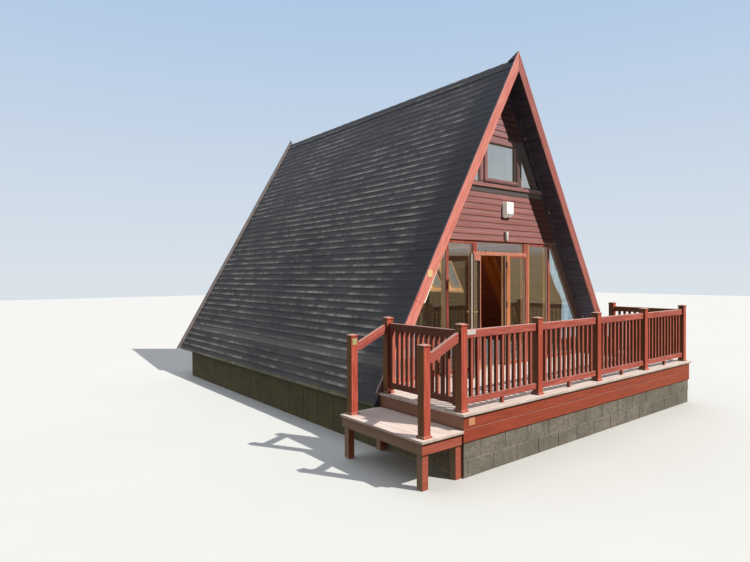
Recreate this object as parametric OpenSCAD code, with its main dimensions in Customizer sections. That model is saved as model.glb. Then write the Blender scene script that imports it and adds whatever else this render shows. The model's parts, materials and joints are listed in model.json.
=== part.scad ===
// A-frame beach hut with a raised deck, one side step and a balustrade.
// X runs to the right seen from the front, Y to the back and Z up.
// The origin is the middle of the underside of the front plinth wall.
// Heights are given above the floor, which is level with the deck, unless a comment says otherwise.

/* [Roof] */
// Pitch of both slopes, in degrees
roof_pitch = 60; // [58:0.5:62]
// Height of the ridge of the roof surface above the floor
roof_rise = 5310; // [5150:10:5500]
// Length of the ridge, from the front bargeboards to the rear ones
ridge_length = 7850; // [7000:50:9000]
// How far the roof runs out past the front wall
front_overhang = 370; // [300:10:450]
// How far the roof runs out past the rear wall
rear_overhang = 750; // [500:10:900]
// Thickness of the roof from its covering to its soffit
roof_t = 100; // [80:5:120]
// Gap left between the roof and the pieces that rest against it
seat_gap = 0.2; // [0.1:0.1:1]
// Thickness of the timber lining inside
lining_t = 25; // [15:1:35]
// Width of each leg of the ridge cap
ridge_cap_w = 150; // [100:5:200]
// Thickness of the ridge cap
ridge_cap_t = 10; // [6:1:16]

/* [Bargeboards] */
// Width of a bargeboard, square to the slope
barge_w = 170; // [150:5:190]
// Thickness of a bargeboard
barge_t = 30; // [22:1:40]
// How far a bargeboard stands above the roof surface
barge_proud = 73; // [50:1:90]
// Height of the butt joint in each front bargeboard
barge_joint_h = 1220; // [900:10:1600]
// Width of that joint
barge_joint_w = 4; // [2:1:8]

/* [Base] */
// Height of the floor and the deck above the lowest ground
deck_level = 760; // [650:10:900]
// Thickness of the ground floor, whose underside is level with the roof's foot
floor_t = 188; // [160:1:220]
// Thickness of the plinth walls of the house
house_plinth_t = 200; // [150:10:250]
// How far the side plinths stand in from the roof's edge
eaves_inset = 54; // [30:1:70]
// Height of the upper floor's underside above the head of the glazing
upper_floor_lift = 30; // [0:5:60]
// Thickness of the upper floor
upper_floor_t = 150; // [100:10:200]

/* [Gable walls] */
// Thickness of the gable walls and depth of their frames
wall_t = 120; // [90:5:150]
// Height of the head of the ground-floor glazing
glazing_head_h = 2200; // [2150:10:2250]
// Face width of the frame members
frame_w = 60; // [45:1:75]
// Face width of the frame members along the slopes
sloping_frame_w = 150; // [120:5:180]
// Distance of the left wall post's centre from the middle of the gable
left_post_x = 1380; // [1300:10:1450]
// Distance of the right wall post's centre from the middle of the gable
right_post_x = 1420; // [1340:10:1460]
// Thickness of the glass
glass_t = 20; // [10:1:28]
// Depth of the glass behind the face of its frame
glass_inset = 30; // [20:1:60]

/* [Doorway] */
// Distance from the middle of the gable to the left side of the door frame
door_frame_left = 756; // [740:2:780]
// Distance from the middle of the gable to the right end of the door's head
door_frame_right = 690; // [680:5:720]
// Width of the hinge post left of the doorway
hinge_post_w = 56; // [50:1:70]
// Clear width of the doorway
doorway_w = 845; // [800:5:850]
// Width of the post between the doorway and the side light
lock_post_w = 89; // [70:1:100]
// Width of the stile right of the side light
side_stile_w = 106; // [80:2:120]
// Width of the post left of the transom light
transom_post_w = 100; // [80:2:120]
// Height of the transom light over the door
transom_light_h = 160; // [130:5:200]
// Height of the transom rail
transom_rail_h = 60; // [45:1:70]
// Projection of the door stops
door_stop_w = 14; // [10:1:20]

/* [Door leaf] */
// Angle at which the door stands open
door_open_angle = 147; // [90:1:150]
// Thickness of the door leaf
leaf_t = 70; // [45:1:75]
// Width of the leaf's stiles and top rail
leaf_stile_w = 95; // [80:5:110]
// Height of the leaf's bottom rail
leaf_bottom_rail_h = 180; // [140:5:220]
// Gap round the leaf
leaf_gap = 9; // [8:0.5:11]
// Distance from the face of the frame to the hinge axis in front of it
hinge_stand_off = 10; // [9:0.5:14]
// Radius of the door hinges' knuckles
knuckle_r = 7; // [5:0.5:8]
// Height of one knuckle
knuckle_h = 34; // [26:1:40]
// Height of the lowest hinge above the leaf's bottom edge
low_hinge_h = 180; // [150:10:250]
// Height of the middle hinge above the leaf's bottom edge
middle_hinge_h = 900; // [800:10:1000]
// Distance from the leaf's top edge down to the highest hinge
high_hinge_drop = 220; // [150:10:250]
// Gap between two knuckles
knuckle_gap = 1; // [0.5:0.25:2]
// Height of the lever handles above the floor
handle_h = 1030; // [980:10:1080]

/* [Upper window] */
// Height of the cladding band between the glazing and the sill
band_h = 930; // [880:10:980]
// Height of the sill
sill_t = 60; // [45:1:70]
// How far the sill stands out of the wall
sill_proud = 45; // [30:1:60]
// Height of the upper window above its sill
upper_window_h = 850; // [800:10:900]
// Width of the posts at both sides of the upper casement
casement_post_w = 90; // [70:5:100]
// Distance from those posts to the roof at the head of the window
casement_margin = 48; // [30:1:80]
// Width of the members of the casement
sash_w = 68; // [55:1:80]
// How far the casement stands out of its frame
sash_proud = 28; // [15:1:35]

/* [Rear windows] */
// Width of the rear ground-floor windows
rear_window_w = 900; // [700:10:1000]
// Height of the rear ground-floor windows
rear_window_h = 1000; // [800:10:1100]
// Height of their sills
rear_window_sill_h = 950; // [850:10:1050]
// Distance of their centres from the middle of the gable
rear_window_x = 850; // [750:10:950]

/* [Roof windows] */
// Distance from the front bargeboards to the first roof window
roof_window_first = 3300; // [2800:10:3600]
// Width of a roof window
roof_window_w = 550; // [450:10:650]
// Gap between the roof windows
roof_window_gap = 100; // [80:5:200]
// Height of the roof windows' bottom edge
roof_window_sill_h = 1240; // [1150:10:1350]
// Length of a roof window up the slope
roof_window_len = 900; // [800:10:950]
// Width of the roof windows' frame
roof_window_frame_w = 45; // [35:1:60]
// How far the frame stands above the roof surface
roof_window_proud = 45; // [30:1:60]

/* [Fittings] */
// Width of the white box on the cladding
box_w = 190; // [170:5:210]
// Height of the white box
box_h = 260; // [230:5:280]
// Depth of the white box
box_d = 105; // [80:5:130]
// Distance from the white box's top up to the sill
box_drop = 230; // [200:10:280]
// Height of the bevel under the white box's front
box_bevel = 50; // [30:5:70]
// Distance from the middle of the gable to the box's left side
box_x = 10; // [0:5:60]
// Width of the wall lamp
lamp_w = 70; // [60:2:90]
// Height of the wall lamp
lamp_h = 150; // [130:5:170]
// Depth of the wall lamp
lamp_d = 67; // [50:1:80]
// Height of the wall lamp's underside above the head of the glazing
lamp_lift = 25; // [15:5:60]
// Distance from the middle of the gable to the lamp's left side
lamp_x = 47; // [30:1:80]

/* [Deck] */
// Half of the width of the deck boards
deck_half = 3100; // [3085:5:3140]
// How far the deck boards run out in front of the bargeboards
deck_depth = 1544; // [1400:10:1700]
// Thickness of the deck boards
deck_board_t = 30; // [24:1:36]
// How far the deck boards stand out over the fascia
nosing = 30; // [20:1:40]
// Thickness of the fascia boards
fascia_t = 20; // [16:1:30]
// Height of the two fascia boards together, below the deck boards
fascia_h = 309; // [280:1:340]
// Gap between the two fascia boards
fascia_gap = 5; // [3:1:10]
// Thickness of the deck's plinth walls
deck_plinth_t = 200; // [150:10:250]
// Gap between the deck boards and the roof's inner face
deck_side_gap = 6; // [4:1:12]
// Gap between the deck and the front edge of the roof
deck_roof_gap = 1; // [1:1:6]

/* [Posts] */
// Side of a square post
post_w = 100; // [90:1:110]
// Height of a post with its cap above the top rail
post_rise = 85; // [70:1:100]
// How far a post's cap stands out
cap_out = 8; // [5:1:12]
// Height of the cap's straight edge
cap_edge_h = 18; // [12:1:24]
// Height of the cap's low pyramid
cap_rise = 14; // [8:1:24]
// How far the trim at a post's foot stands out
trim_out = 14; // [8:1:20]
// Height of the trim at a post's foot
trim_h = 24; // [16:1:32]
// Distance from the deck's side edges to the centres of the end posts
post_edge = 100; // [80:5:130]
// Distance from the deck's front edge to the front posts' face
post_inset = 78; // [60:1:100]
// Distance from the bargeboards to the trims of the rear posts
rear_post_gap = 2; // [1:1:10]

/* [Balustrade] */
// Height of the top rail's upper face
rail_top_h = 961; // [930:1:980]
// Height of the top rail
top_rail_h = 98; // [80:1:110]
// Thickness of the top rail
top_rail_t = 58; // [50:1:70]
// Chamfer along the top rail's upper edges
rail_chamfer = 6; // [3:1:10]
// Gap between a rail's end and the post that its bracket is fixed to
rail_end_gap = 20; // [12:1:25]
// Height of the bottom rail's underside
rail_base_h = 78; // [60:1:100]
// Height of the bottom rail
bottom_rail_h = 77; // [60:1:90]
// Thickness of the bottom rail
bottom_rail_t = 50; // [44:1:60]
// Side of a square baluster
baluster_w = 40; // [34:1:44]
// Number of balusters in a bay
balusters = 11; // [9:1:12]

/* [Gate] */
// Gap at each side of the gate
gate_gap = 12; // [9:1:16]
// Width of the gate's stiles
gate_stile_w = 60; // [50:1:70]
// Thickness of the gate
gate_t = 50; // [44:1:60]
// Height of the gate's underside
gate_base_h = 60; // [50:1:80]
// Distance from the gate's inner face to its hinge axis
gate_stand_off = 10; // [9:0.5:14]
// Heights of the gate's two hinges
gate_hinge_h = [230, 800];

/* [Step] */
// Height of the tread below the deck
step_drop = 195; // [180:1:210]
// Width of the tread, from the deck's fascia to its outer edge
tread_w = 670; // [640:5:720]
// Distance from the tread's front and rear edges to the ends of the deck beside it
tread_end_gap = 20; // [10:5:40]
// Thickness of the tread
tread_t = 30; // [24:1:36]
// Height of the boards below the tread
riser_h = 134; // [110:1:150]
// Thickness of those boards
riser_t = 22; // [18:1:28]
// Side of a leg of the step
step_leg_w = 90; // [70:5:100]
// Distance from the tread's outer edge to the newels' centres
newel_inset = 135; // [100:5:140]
// Distance from the top rails' upper face down to the handrails' top at the deck's posts
handrail_drop = 21; // [10:1:40]
// Height of a handrail, measured upright
handrail_h = 115; // [95:1:130]
// Thickness of a handrail
handrail_t = 50; // [44:1:60]
// Length of the level piece at a handrail's lower end
handrail_knee = 60; // [20:5:90]

/* [Curtains] */
// Thickness of a curtain with its folds
curtain_t = 50; // [40:1:70]
// Gap between a curtain and the wall
curtain_gap = 25; // [15:1:40]
// Height at which a curtain is tied back
curtain_tie_h = 1090; // [1000:10:1200]
// Width of a curtain along its head
curtain_head_w = 220; // [180:5:240]
// Height at which a curtain starts to be drawn in to its tie
curtain_bend_h = 1500; // [1300:10:1700]
// Width of a curtain at that height
curtain_bend_w = 255; // [230:5:300]
// Width of a curtain where it is tied back
curtain_tie_w = 220; // [150:5:250]
// Width of a curtain along its hem
curtain_hem_w = 620; // [400:10:700]
// Height of a curtain's hem
curtain_hem_h = 330; // [200:10:500]

/* [Hidden] */

// Extra length of a cutting tool past the face that it cuts
cut = 10;
// Facets of the small round parts
round_facets = 24;
// Number of bays along the front, one for each front panel
front_bays = 4;
// Y of the planes that the walls and the bargeboards stand on
front_wall_y = -house_plinth_t / 2;
front_barge_y = front_wall_y - front_overhang;
rear_barge_y = front_barge_y + ridge_length;
rear_wall_y = rear_barge_y - rear_overhang;
roof_y0 = front_barge_y + barge_t;
roof_y1 = rear_barge_y - barge_t;
inner_y0 = front_wall_y + wall_t;
inner_y1 = rear_wall_y - wall_t;
// X of the outer face of the side plinths
plinth_x = slope_x(-floor_t, 0) - eaves_inset;
// Y of the deck's parts, which end just in front of the roof
deck_y0 = front_barge_y - deck_depth;
deck_y1 = roof_y0 - deck_roof_gap;
fascia_y0 = deck_y0 + nosing;
deck_plinth_y0 = fascia_y0 + fascia_t;
fascia_x = deck_half - nosing;
deck_plinth_x = fascia_x - fascia_t;
// Centres of the front posts and of the rear ones
post_x0 = -deck_half + post_edge;
bay = -2 * post_x0 / front_bays;
front_post_y = deck_y0 + post_inset + post_w / 2;
rear_post_y = front_barge_y - rear_post_gap - trim_out - post_w / 2;
// Depths below the roof surface: the walls' edges, the lining's inner face, the upper floor's edges
wall_d = roof_t + seat_gap;
lining_d = wall_d + lining_t;
upper_floor_d = lining_d + seat_gap;
// Heights that follow from the glazing's head
transom_h = glazing_head_h - frame_w / 2 - transom_light_h - transom_rail_h;
upper_floor_h = glazing_head_h + upper_floor_lift;
upper_sill_h = glazing_head_h + band_h;
upper_head_h = upper_sill_h + sill_t + upper_window_h;
casement_half = slope_x(upper_head_h, wall_d) - casement_margin - casement_post_w;
box_base_h = upper_sill_h - box_drop - box_h;
lamp_base_h = glazing_head_h + lamp_lift;
// Doorway
doorway_x0 = -door_frame_left + hinge_post_w;
doorway_x1 = doorway_x0 + doorway_w;
hinge_x = doorway_x0 + leaf_gap / 2;
hinge_y = front_wall_y - hinge_stand_off;
leaf_w = doorway_w - 2 * leaf_gap;
leaf_h = transom_h - 2 * leaf_gap;
// Heights of the three door hinges above the leaf's bottom edge
door_hinge_h = [low_hinge_h, middle_hinge_h, leaf_h - high_hinge_drop];
// Gate
gate_x = post_x0;
gate_y0 = front_post_y + post_w / 2 + gate_gap;
gate_y1 = rear_post_y - post_w / 2 - gate_gap;
gate_axis_x = gate_x + gate_t / 2 + gate_stand_off;
gate_knuckle_r = 8;
gate_knuckle_h = 40;
// Heights that follow from the top rails
post_h = rail_top_h + post_rise;
handrail_top_h = rail_top_h - handrail_drop;
// Step
step_x1 = -fascia_x;
step_x0 = step_x1 - tread_w;
step_y0 = deck_y0 + tread_end_gap;
step_y1 = front_barge_y + tread_end_gap;
tread_base_h = -step_drop - tread_t;
newel_x = step_x0 + newel_inset;
newel_y = [rear_post_y, front_post_y];

// X of a slope at a height, at a depth square to the roof surface
function slope_x(h, depth) = (roof_rise - h) / tan(roof_pitch) - depth / sin(roof_pitch);
// Height of the peak of a layer at a depth below the roof surface
function peak_h(depth) = roof_rise - depth / cos(roof_pitch);
// Distance down the slope from the ridge to a height
function slope_run(h) = (roof_rise - h) / sin(roof_pitch);

// Extrudes a gable outline, drawn in X and height above the floor, between two Y planes
module along_y(y0, y1) {
    translate([0, y1, deck_level])
        rotate([90, 0, 0])
            linear_extrude(height = y1 - y0)
                children();
}

// A box between two corners whose heights are above the floor
module block(low, high) {
    translate([low[0], low[1], low[2] + deck_level])
        cube([high[0] - low[0], high[1] - low[1], high[2] - low[2]]);
}

// Outline of the right half of a roof layer between two depths, from a height up to the ridge
module layer_outline(depth0, depth1, foot_h) {
    polygon([
        [slope_x(foot_h, depth0), foot_h],
        [0, peak_h(depth0)],
        [0, peak_h(depth1)],
        [slope_x(foot_h, depth1), foot_h]
    ]);
}

// Outline of the whole space under a roof depth, between two heights
module gable_outline(depth, h0, h1) {
    if (h1 < peak_h(depth)) {
        polygon([
            [-slope_x(h0, depth), h0], [slope_x(h0, depth), h0],
            [slope_x(h1, depth), h1], [-slope_x(h1, depth), h1]
        ]);
    } else {
        polygon([[-slope_x(h0, depth), h0], [slope_x(h0, depth), h0], [0, peak_h(depth)]]);
    }
}

// Places children with X down the right slope, Y along the hut and Z out of the roof surface
module on_right_slope() {
    translate([0, 0, deck_level + roof_rise])
        rotate([0, roof_pitch, 0])
            children();
}

// House base

module house_front_plinth() {
    color("dimgray")
        block([-plinth_x + house_plinth_t, front_wall_y, -deck_level],
              [plinth_x - house_plinth_t, front_wall_y + house_plinth_t, -floor_t]);
}

module house_rear_plinth() {
    color("dimgray")
        block([-plinth_x + house_plinth_t, rear_wall_y - house_plinth_t, -deck_level],
              [plinth_x - house_plinth_t, rear_wall_y, -floor_t]);
}

module house_side_plinths() {
    color("dimgray")
        for (side = [0, 1])
            mirror([side, 0, 0])
                block([plinth_x - house_plinth_t, roof_y0, -deck_level],
                      [plinth_x, rear_wall_y, -floor_t]);
}

module ground_floor() {
    color("peru")
        along_y(front_wall_y, rear_wall_y)
            gable_outline(wall_d, -floor_t, 0);
}

module upper_floor() {
    color("peru")
        along_y(inner_y0, inner_y1)
            gable_outline(upper_floor_d, upper_floor_h, upper_floor_h + upper_floor_t);
}

// Roof

module roof_window_holes(grow, z0, z1) {
    for (i = [0, 1])
        on_right_slope()
            translate([
                slope_run(roof_window_sill_h) - roof_window_len - grow,
                front_barge_y + roof_window_first + i * (roof_window_w + roof_window_gap) - grow,
                z0
            ])
                cube([roof_window_len + 2 * grow, roof_window_w + 2 * grow, z1 - z0]);
}

module left_roof_slope() {
    color([0.22, 0.23, 0.26])
        mirror([1, 0, 0])
            along_y(roof_y0, roof_y1)
                layer_outline(0, roof_t, -floor_t);
}

module right_roof_slope() {
    color([0.22, 0.23, 0.26])
        difference() {
            along_y(roof_y0, roof_y1)
                layer_outline(0, roof_t, -floor_t);
            roof_window_holes(0, -lining_d - cut, cut);
        }
}

module left_lining() {
    color("sandybrown")
        mirror([1, 0, 0])
            along_y(inner_y0, inner_y1)
                layer_outline(wall_d, lining_d, 0);
}

module right_lining() {
    color("sandybrown")
        difference() {
            along_y(inner_y0, inner_y1)
                layer_outline(wall_d, lining_d, 0);
            roof_window_holes(0, -lining_d - cut, cut);
        }
}

module ridge_cap() {
    drop = ridge_cap_w * sin(roof_pitch);
    run = ridge_cap_w * cos(roof_pitch);
    lift = ridge_cap_t / cos(roof_pitch);
    out = ridge_cap_t * sin(roof_pitch);
    up = ridge_cap_t * cos(roof_pitch);
    color([0.16, 0.17, 0.2])
        along_y(roof_y0, roof_y1)
            translate([0, peak_h(-seat_gap)])
                polygon([
                    [0, lift], [-run - out, up - drop], [-run, -drop],
                    [0, 0], [run, -drop], [run + out, up - drop]
                ]);
}

// One bargeboard on the right slope, mirrored for the left
module bargeboard(side, y0, foot_h) {
    mirror([side, 0, 0])
        along_y(y0, y0 + barge_t)
            layer_outline(-barge_proud, barge_w - barge_proud, foot_h);
}

module front_bargeboard(side) {
    color("indianred")
        difference() {
            bargeboard(side, front_barge_y, 0);
            mirror([side, 0, 0])
                on_right_slope()
                    translate([slope_run(barge_joint_h), front_barge_y - cut, -barge_w])
                        cube([barge_joint_w, barge_t + 2 * cut, 2 * barge_w]);
        }
}

module front_left_bargeboard() {
    front_bargeboard(1);
}

module front_right_bargeboard() {
    front_bargeboard(0);
}

module rear_left_bargeboard() {
    color("indianred")
        bargeboard(1, roof_y1, -floor_t);
}

module rear_right_bargeboard() {
    color("indianred")
        bargeboard(0, roof_y1, -floor_t);
}

module roof_window_frames() {
    color("burlywood")
        difference() {
            roof_window_holes(0, -lining_d, roof_window_proud);
            roof_window_holes(-roof_window_frame_w, -lining_d - cut, roof_window_proud + cut);
        }
}

module roof_window_glass() {
    color([0.6, 0.75, 0.85, 0.4])
        roof_window_holes(-roof_window_frame_w, 0, glass_t);
}

// Front wall

// Outline of a light from an upright edge to the sloping frame member, blunt where the two would meet
module sloping_light(x0, h0, h1) {
    side_d = wall_d + sloping_frame_w;
    blunt_w = 8;
    top_h = min(h1, peak_h(side_d) - (x0 + blunt_w) * tan(roof_pitch));
    polygon([[x0, h0], [slope_x(h0, side_d), h0], [slope_x(top_h, side_d), top_h], [x0, top_h]]);
}

module outer_light(post_x) {
    sloping_light(post_x + frame_w / 2, frame_w, glazing_head_h - frame_w);
}

// Outline of a glazed light between two X values
module upright_light(x0, x1, h0, h1) {
    polygon([[x0, h0], [x1, h0], [x1, h1], [x0, h1]]);
}

module left_lights() {
    mirror([1, 0])
        outer_light(left_post_x);
    upright_light(-left_post_x + frame_w / 2, -door_frame_left, frame_w, glazing_head_h - frame_w);
}

module right_lights() {
    outer_light(right_post_x);
    upright_light(door_frame_right + side_stile_w, right_post_x - frame_w / 2,
                  frame_w, glazing_head_h - frame_w);
    upright_light(doorway_x1 + lock_post_w, door_frame_right, frame_w, transom_h - frame_w / 2);
}

module transom_light() {
    upright_light(-door_frame_left + transom_post_w, door_frame_right - frame_w,
                  transom_h + transom_rail_h, glazing_head_h - frame_w / 2);
}

module front_left_frame() {
    color("firebrick") {
        along_y(front_wall_y, inner_y0)
            difference() {
                gable_outline(wall_d, 0, glazing_head_h);
                left_lights();
                upright_light(doorway_x0, slope_x(0, 0), -cut, transom_h);
                upright_light(-door_frame_left, slope_x(0, 0), transom_h, glazing_head_h + cut);
            }
        door_stop(doorway_x0);
    }
}

module front_right_frame() {
    color("firebrick") {
        along_y(front_wall_y, inner_y0)
            difference() {
                gable_outline(wall_d, 0, glazing_head_h);
                right_lights();
                upright_light(-slope_x(0, 0), doorway_x1, -cut, transom_h);
                upright_light(-slope_x(0, 0), door_frame_right, transom_h, glazing_head_h + cut);
            }
        door_stop(doorway_x1 - door_stop_w);
    }
}

// Upright strip that the closed leaf shuts against
module door_stop(x) {
    block([x, front_wall_y + leaf_t + leaf_gap, 0], [x + door_stop_w, inner_y0, transom_h]);
}

module door_head() {
    color("firebrick")
        along_y(front_wall_y, inner_y0)
            difference() {
                upright_light(-door_frame_left, door_frame_right, transom_h, glazing_head_h);
                transom_light();
            }
}

module front_glass() {
    color([0.5, 0.65, 0.7, 0.4])
        along_y(front_wall_y + glass_inset, front_wall_y + glass_inset + glass_t) {
            left_lights();
            right_lights();
            transom_light();
        }
}

// Places the leaf's own frame, with its hinge axis at the origin, where the open door stands
module at_open_door() {
    translate([hinge_x, hinge_y, deck_level + leaf_gap])
        rotate([0, 0, -door_open_angle])
            children();
}

module door_leaf() {
    color("sienna")
        at_open_door() {
            translate([leaf_gap / 2, hinge_stand_off, 0])
                difference() {
                    cube([leaf_w, leaf_t, leaf_h]);
                    translate([leaf_stile_w, -cut, leaf_bottom_rail_h])
                        cube([leaf_w - 2 * leaf_stile_w, leaf_t + 2 * cut,
                              leaf_h - leaf_bottom_rail_h - leaf_stile_w]);
                }
            for (h = door_hinge_h)
                translate([0, 0, h])
                    hinge_leaf();
        }
}

// A knuckle round the hinge axis with a lug that is let a little way into the leaf
module hinge_leaf() {
    lug_bite = 1;
    cylinder(r = knuckle_r, h = knuckle_h, $fn = round_facets);
    cube([knuckle_r + leaf_gap / 2, hinge_stand_off + lug_bite, knuckle_h]);
}

module door_hinges() {
    color("goldenrod")
        translate([hinge_x, hinge_y, deck_level + leaf_gap])
            for (h = door_hinge_h)
                for (k = [-knuckle_h - knuckle_gap, knuckle_h + knuckle_gap])
                    translate([0, 0, h + k]) {
                        cylinder(r = knuckle_r, h = knuckle_h, $fn = round_facets);
                        translate([-knuckle_r - leaf_gap / 2, 0, 0])
                            cube([knuckle_r + leaf_gap / 2, hinge_stand_off, knuckle_h]);
                    }
}

module door_glass() {
    color([0.5, 0.65, 0.7, 0.4])
        at_open_door()
            translate([leaf_gap / 2 + leaf_stile_w, hinge_stand_off + (leaf_t - glass_t) / 2,
                       leaf_bottom_rail_h])
                cube([leaf_w - 2 * leaf_stile_w, glass_t, leaf_h - leaf_bottom_rail_h - leaf_stile_w]);
}

// Back plate, neck and lever on one face of the leaf, drawn standing out along -Y
module lever_handle() {
    plate_w = 34;
    plate_h = 220;
    plate_t = 6;
    plate_drop = 30;
    neck_r = 9;
    neck_l = 42;
    lever_l = 118;
    translate([-plate_w / 2, -plate_t, -plate_h / 2 - plate_drop])
        cube([plate_w, plate_t, plate_h]);
    translate([0, -plate_t, 0])
        rotate([90, 0, 0])
            cylinder(r = neck_r, h = neck_l, $fn = round_facets);
    translate([0, -plate_t - neck_l + neck_r, 0])
        rotate([0, -90, 0])
            cylinder(r = neck_r, h = lever_l, $fn = round_facets);
}

module door_handles() {
    color("gold")
        at_open_door()
            translate([leaf_gap / 2 + leaf_w - leaf_stile_w / 2, hinge_stand_off, handle_h]) {
                lever_handle();
                translate([0, leaf_t, 0])
                    mirror([0, 1, 0])
                        lever_handle();
            }
}

module front_cladding() {
    color("brown")
        along_y(front_wall_y, inner_y0)
            gable_outline(wall_d, glazing_head_h, upper_sill_h);
}

module window_sill() {
    color("maroon")
        along_y(front_wall_y - sill_proud, inner_y0)
            gable_outline(wall_d, upper_sill_h, upper_sill_h + sill_t);
}

// Outline of the sloping lights beside the upper casement
module upper_side_lights() {
    for (side = [0, 1])
        mirror([side, 0])
            sloping_light(casement_half + casement_post_w, upper_sill_h + sill_t + frame_w / 2,
                          upper_head_h - frame_w);
}

// Outline of the casement, drawn in from the opening that holds it
module casement_outline(inset) {
    upright_light(inset - casement_half, casement_half - inset,
                  upper_sill_h + sill_t + frame_w / 2 + inset, upper_head_h - frame_w - inset);
}

module upper_window_frame() {
    color("firebrick")
        along_y(front_wall_y, inner_y0)
            difference() {
                gable_outline(wall_d, upper_sill_h + sill_t, upper_head_h);
                upper_side_lights();
                casement_outline(0);
            }
}

// Casement in the upper window, shut
module upper_sash() {
    color("firebrick")
        along_y(front_wall_y - sash_proud, inner_y0)
            difference() {
                casement_outline(0);
                casement_outline(sash_w);
            }
}

module upper_window_glass() {
    color([0.5, 0.65, 0.7, 0.4])
        along_y(front_wall_y + glass_inset, front_wall_y + glass_inset + glass_t) {
            upper_side_lights();
            casement_outline(sash_w);
        }
}

module front_gable_top() {
    color("brown")
        along_y(front_wall_y, inner_y0)
            gable_outline(wall_d, upper_head_h, roof_rise);
}

// Rear wall

module rear_openings() {
    for (side = [0, 1])
        mirror([side, 0])
            upright_light(rear_window_x - rear_window_w / 2, rear_window_x + rear_window_w / 2,
                          rear_window_sill_h, rear_window_sill_h + rear_window_h);
    upright_light(-casement_half, casement_half, upper_sill_h + sill_t, upper_head_h);
}

module rear_wall() {
    color("brown")
        along_y(inner_y1, rear_wall_y)
            difference() {
                gable_outline(wall_d, 0, roof_rise);
                rear_openings();
            }
}

module rear_window_frames() {
    color("firebrick")
        along_y(inner_y1, rear_wall_y)
            difference() {
                rear_openings();
                offset(delta = -frame_w)
                    rear_openings();
            }
}

module rear_window_glass() {
    color([0.5, 0.65, 0.7, 0.4])
        along_y(rear_wall_y - glass_inset - glass_t, rear_wall_y - glass_inset)
            offset(delta = -frame_w)
                rear_openings();
}

// Fittings

// Cover with a bevelled foot on a thin back plate
module alarm_box() {
    plate_t = 8;
    plate_out = 5;
    color("white") {
        translate([box_x, front_wall_y - plate_t, deck_level + box_base_h])
            rotate([90, 0, 90])
                linear_extrude(height = box_w)
                    polygon([
                        [0, 0], [0, box_h], [plate_t - box_d, box_h],
                        [plate_t - box_d, box_bevel], [-box_d / 2, 0]
                    ]);
        block([box_x - plate_out, front_wall_y - plate_t, box_base_h - plate_out],
              [box_x + box_w + plate_out, front_wall_y, box_base_h + box_h + plate_out]);
    }
}

// Half-round cover in front of a straight base
module wall_lamp() {
    lamp_r = lamp_w / 2;
    color("lightgray")
        translate([lamp_x, front_wall_y, deck_level + lamp_base_h]) {
            translate([0, lamp_r - lamp_d, 0])
                cube([lamp_w, lamp_d - lamp_r, lamp_h]);
            difference() {
                translate([lamp_r, lamp_r - lamp_d, 0])
                    cylinder(r = lamp_r, h = lamp_h, $fn = 2 * round_facets);
                translate([-cut, lamp_r - lamp_d, -cut])
                    cube([lamp_w + 2 * cut, lamp_w, lamp_h + 2 * cut]);
            }
        }
}

module curtain_outline() {
    gap = curtain_gap / sin(roof_pitch);
    head_h = glazing_head_h - frame_w;
    head_x = slope_x(head_h, lining_d) - gap;
    bend_x = slope_x(curtain_bend_h, lining_d) - gap;
    tie_x = slope_x(curtain_tie_h, lining_d) - gap;
    hem_x = slope_x(curtain_hem_h, lining_d) - gap;
    polygon([
        [head_x, head_h], [tie_x, curtain_tie_h], [hem_x, curtain_hem_h],
        [hem_x - curtain_hem_w, curtain_hem_h], [tie_x - curtain_tie_w, curtain_tie_h],
        [bend_x - curtain_bend_w, curtain_bend_h], [head_x - curtain_head_w, head_h]
    ]);
}

module curtains() {
    color("lightblue")
        for (side = [0, 1])
            mirror([side, 0, 0])
                along_y(inner_y0 + curtain_gap, inner_y0 + curtain_gap + curtain_t)
                    curtain_outline();
}

// Deck

module deck_floor() {
    inner = slope_x(-deck_board_t, wall_d) - (deck_board_t / tan(roof_pitch)) - deck_side_gap;
    color("tan") {
        block([-deck_half, deck_y0, -deck_board_t], [deck_half, deck_y1, 0]);
        block([-inner, deck_y1, -deck_board_t], [inner, front_wall_y, 0]);
    }
}

// Two fascia boards, one above the other, filling the plan between two corners
module fascia_boards(low, high) {
    board_h = (fascia_h - fascia_gap) / 2;
    for (top_h = [-deck_board_t, -deck_board_t - board_h - fascia_gap])
        block([low[0], low[1], top_h - board_h], [high[0], high[1], top_h]);
}

module deck_front_fascia() {
    color("saddlebrown")
        fascia_boards([-fascia_x, fascia_y0], [fascia_x, deck_plinth_y0]);
}

module deck_side_fascias() {
    color("saddlebrown")
        for (side = [0, 1])
            mirror([side, 0, 0])
                fascia_boards([deck_plinth_x, deck_plinth_y0], [fascia_x, deck_y1]);
}

module deck_front_plinth() {
    color("gray")
        block([-deck_plinth_x, deck_plinth_y0, -deck_level],
              [deck_plinth_x, deck_plinth_y0 + deck_plinth_t, -deck_board_t]);
}

module deck_side_plinths() {
    color("gray")
        for (side = [0, 1])
            mirror([side, 0, 0])
                block([deck_plinth_x - deck_plinth_t, deck_plinth_y0 + deck_plinth_t, -deck_level],
                      [deck_plinth_x, deck_y1, -deck_board_t]);
}

// A square post with a foot trim and a low pyramid cap
module post() {
    shaft_h = post_h - cap_edge_h - cap_rise;
    cap_half = post_w / 2 + cap_out;
    cap_tip_r = 10;
    translate([-post_w / 2, -post_w / 2, 0])
        cube([post_w, post_w, shaft_h]);
    translate([-post_w / 2 - trim_out, -post_w / 2 - trim_out, 0])
        cube([post_w + 2 * trim_out, post_w + 2 * trim_out, trim_h]);
    translate([-cap_half, -cap_half, shaft_h])
        cube([2 * cap_half, 2 * cap_half, cap_edge_h]);
    translate([0, 0, shaft_h + cap_edge_h])
        rotate([0, 0, 45])
            cylinder(r1 = cap_half * sqrt(2), r2 = cap_tip_r, h = cap_rise, $fn = 4);
}

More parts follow.
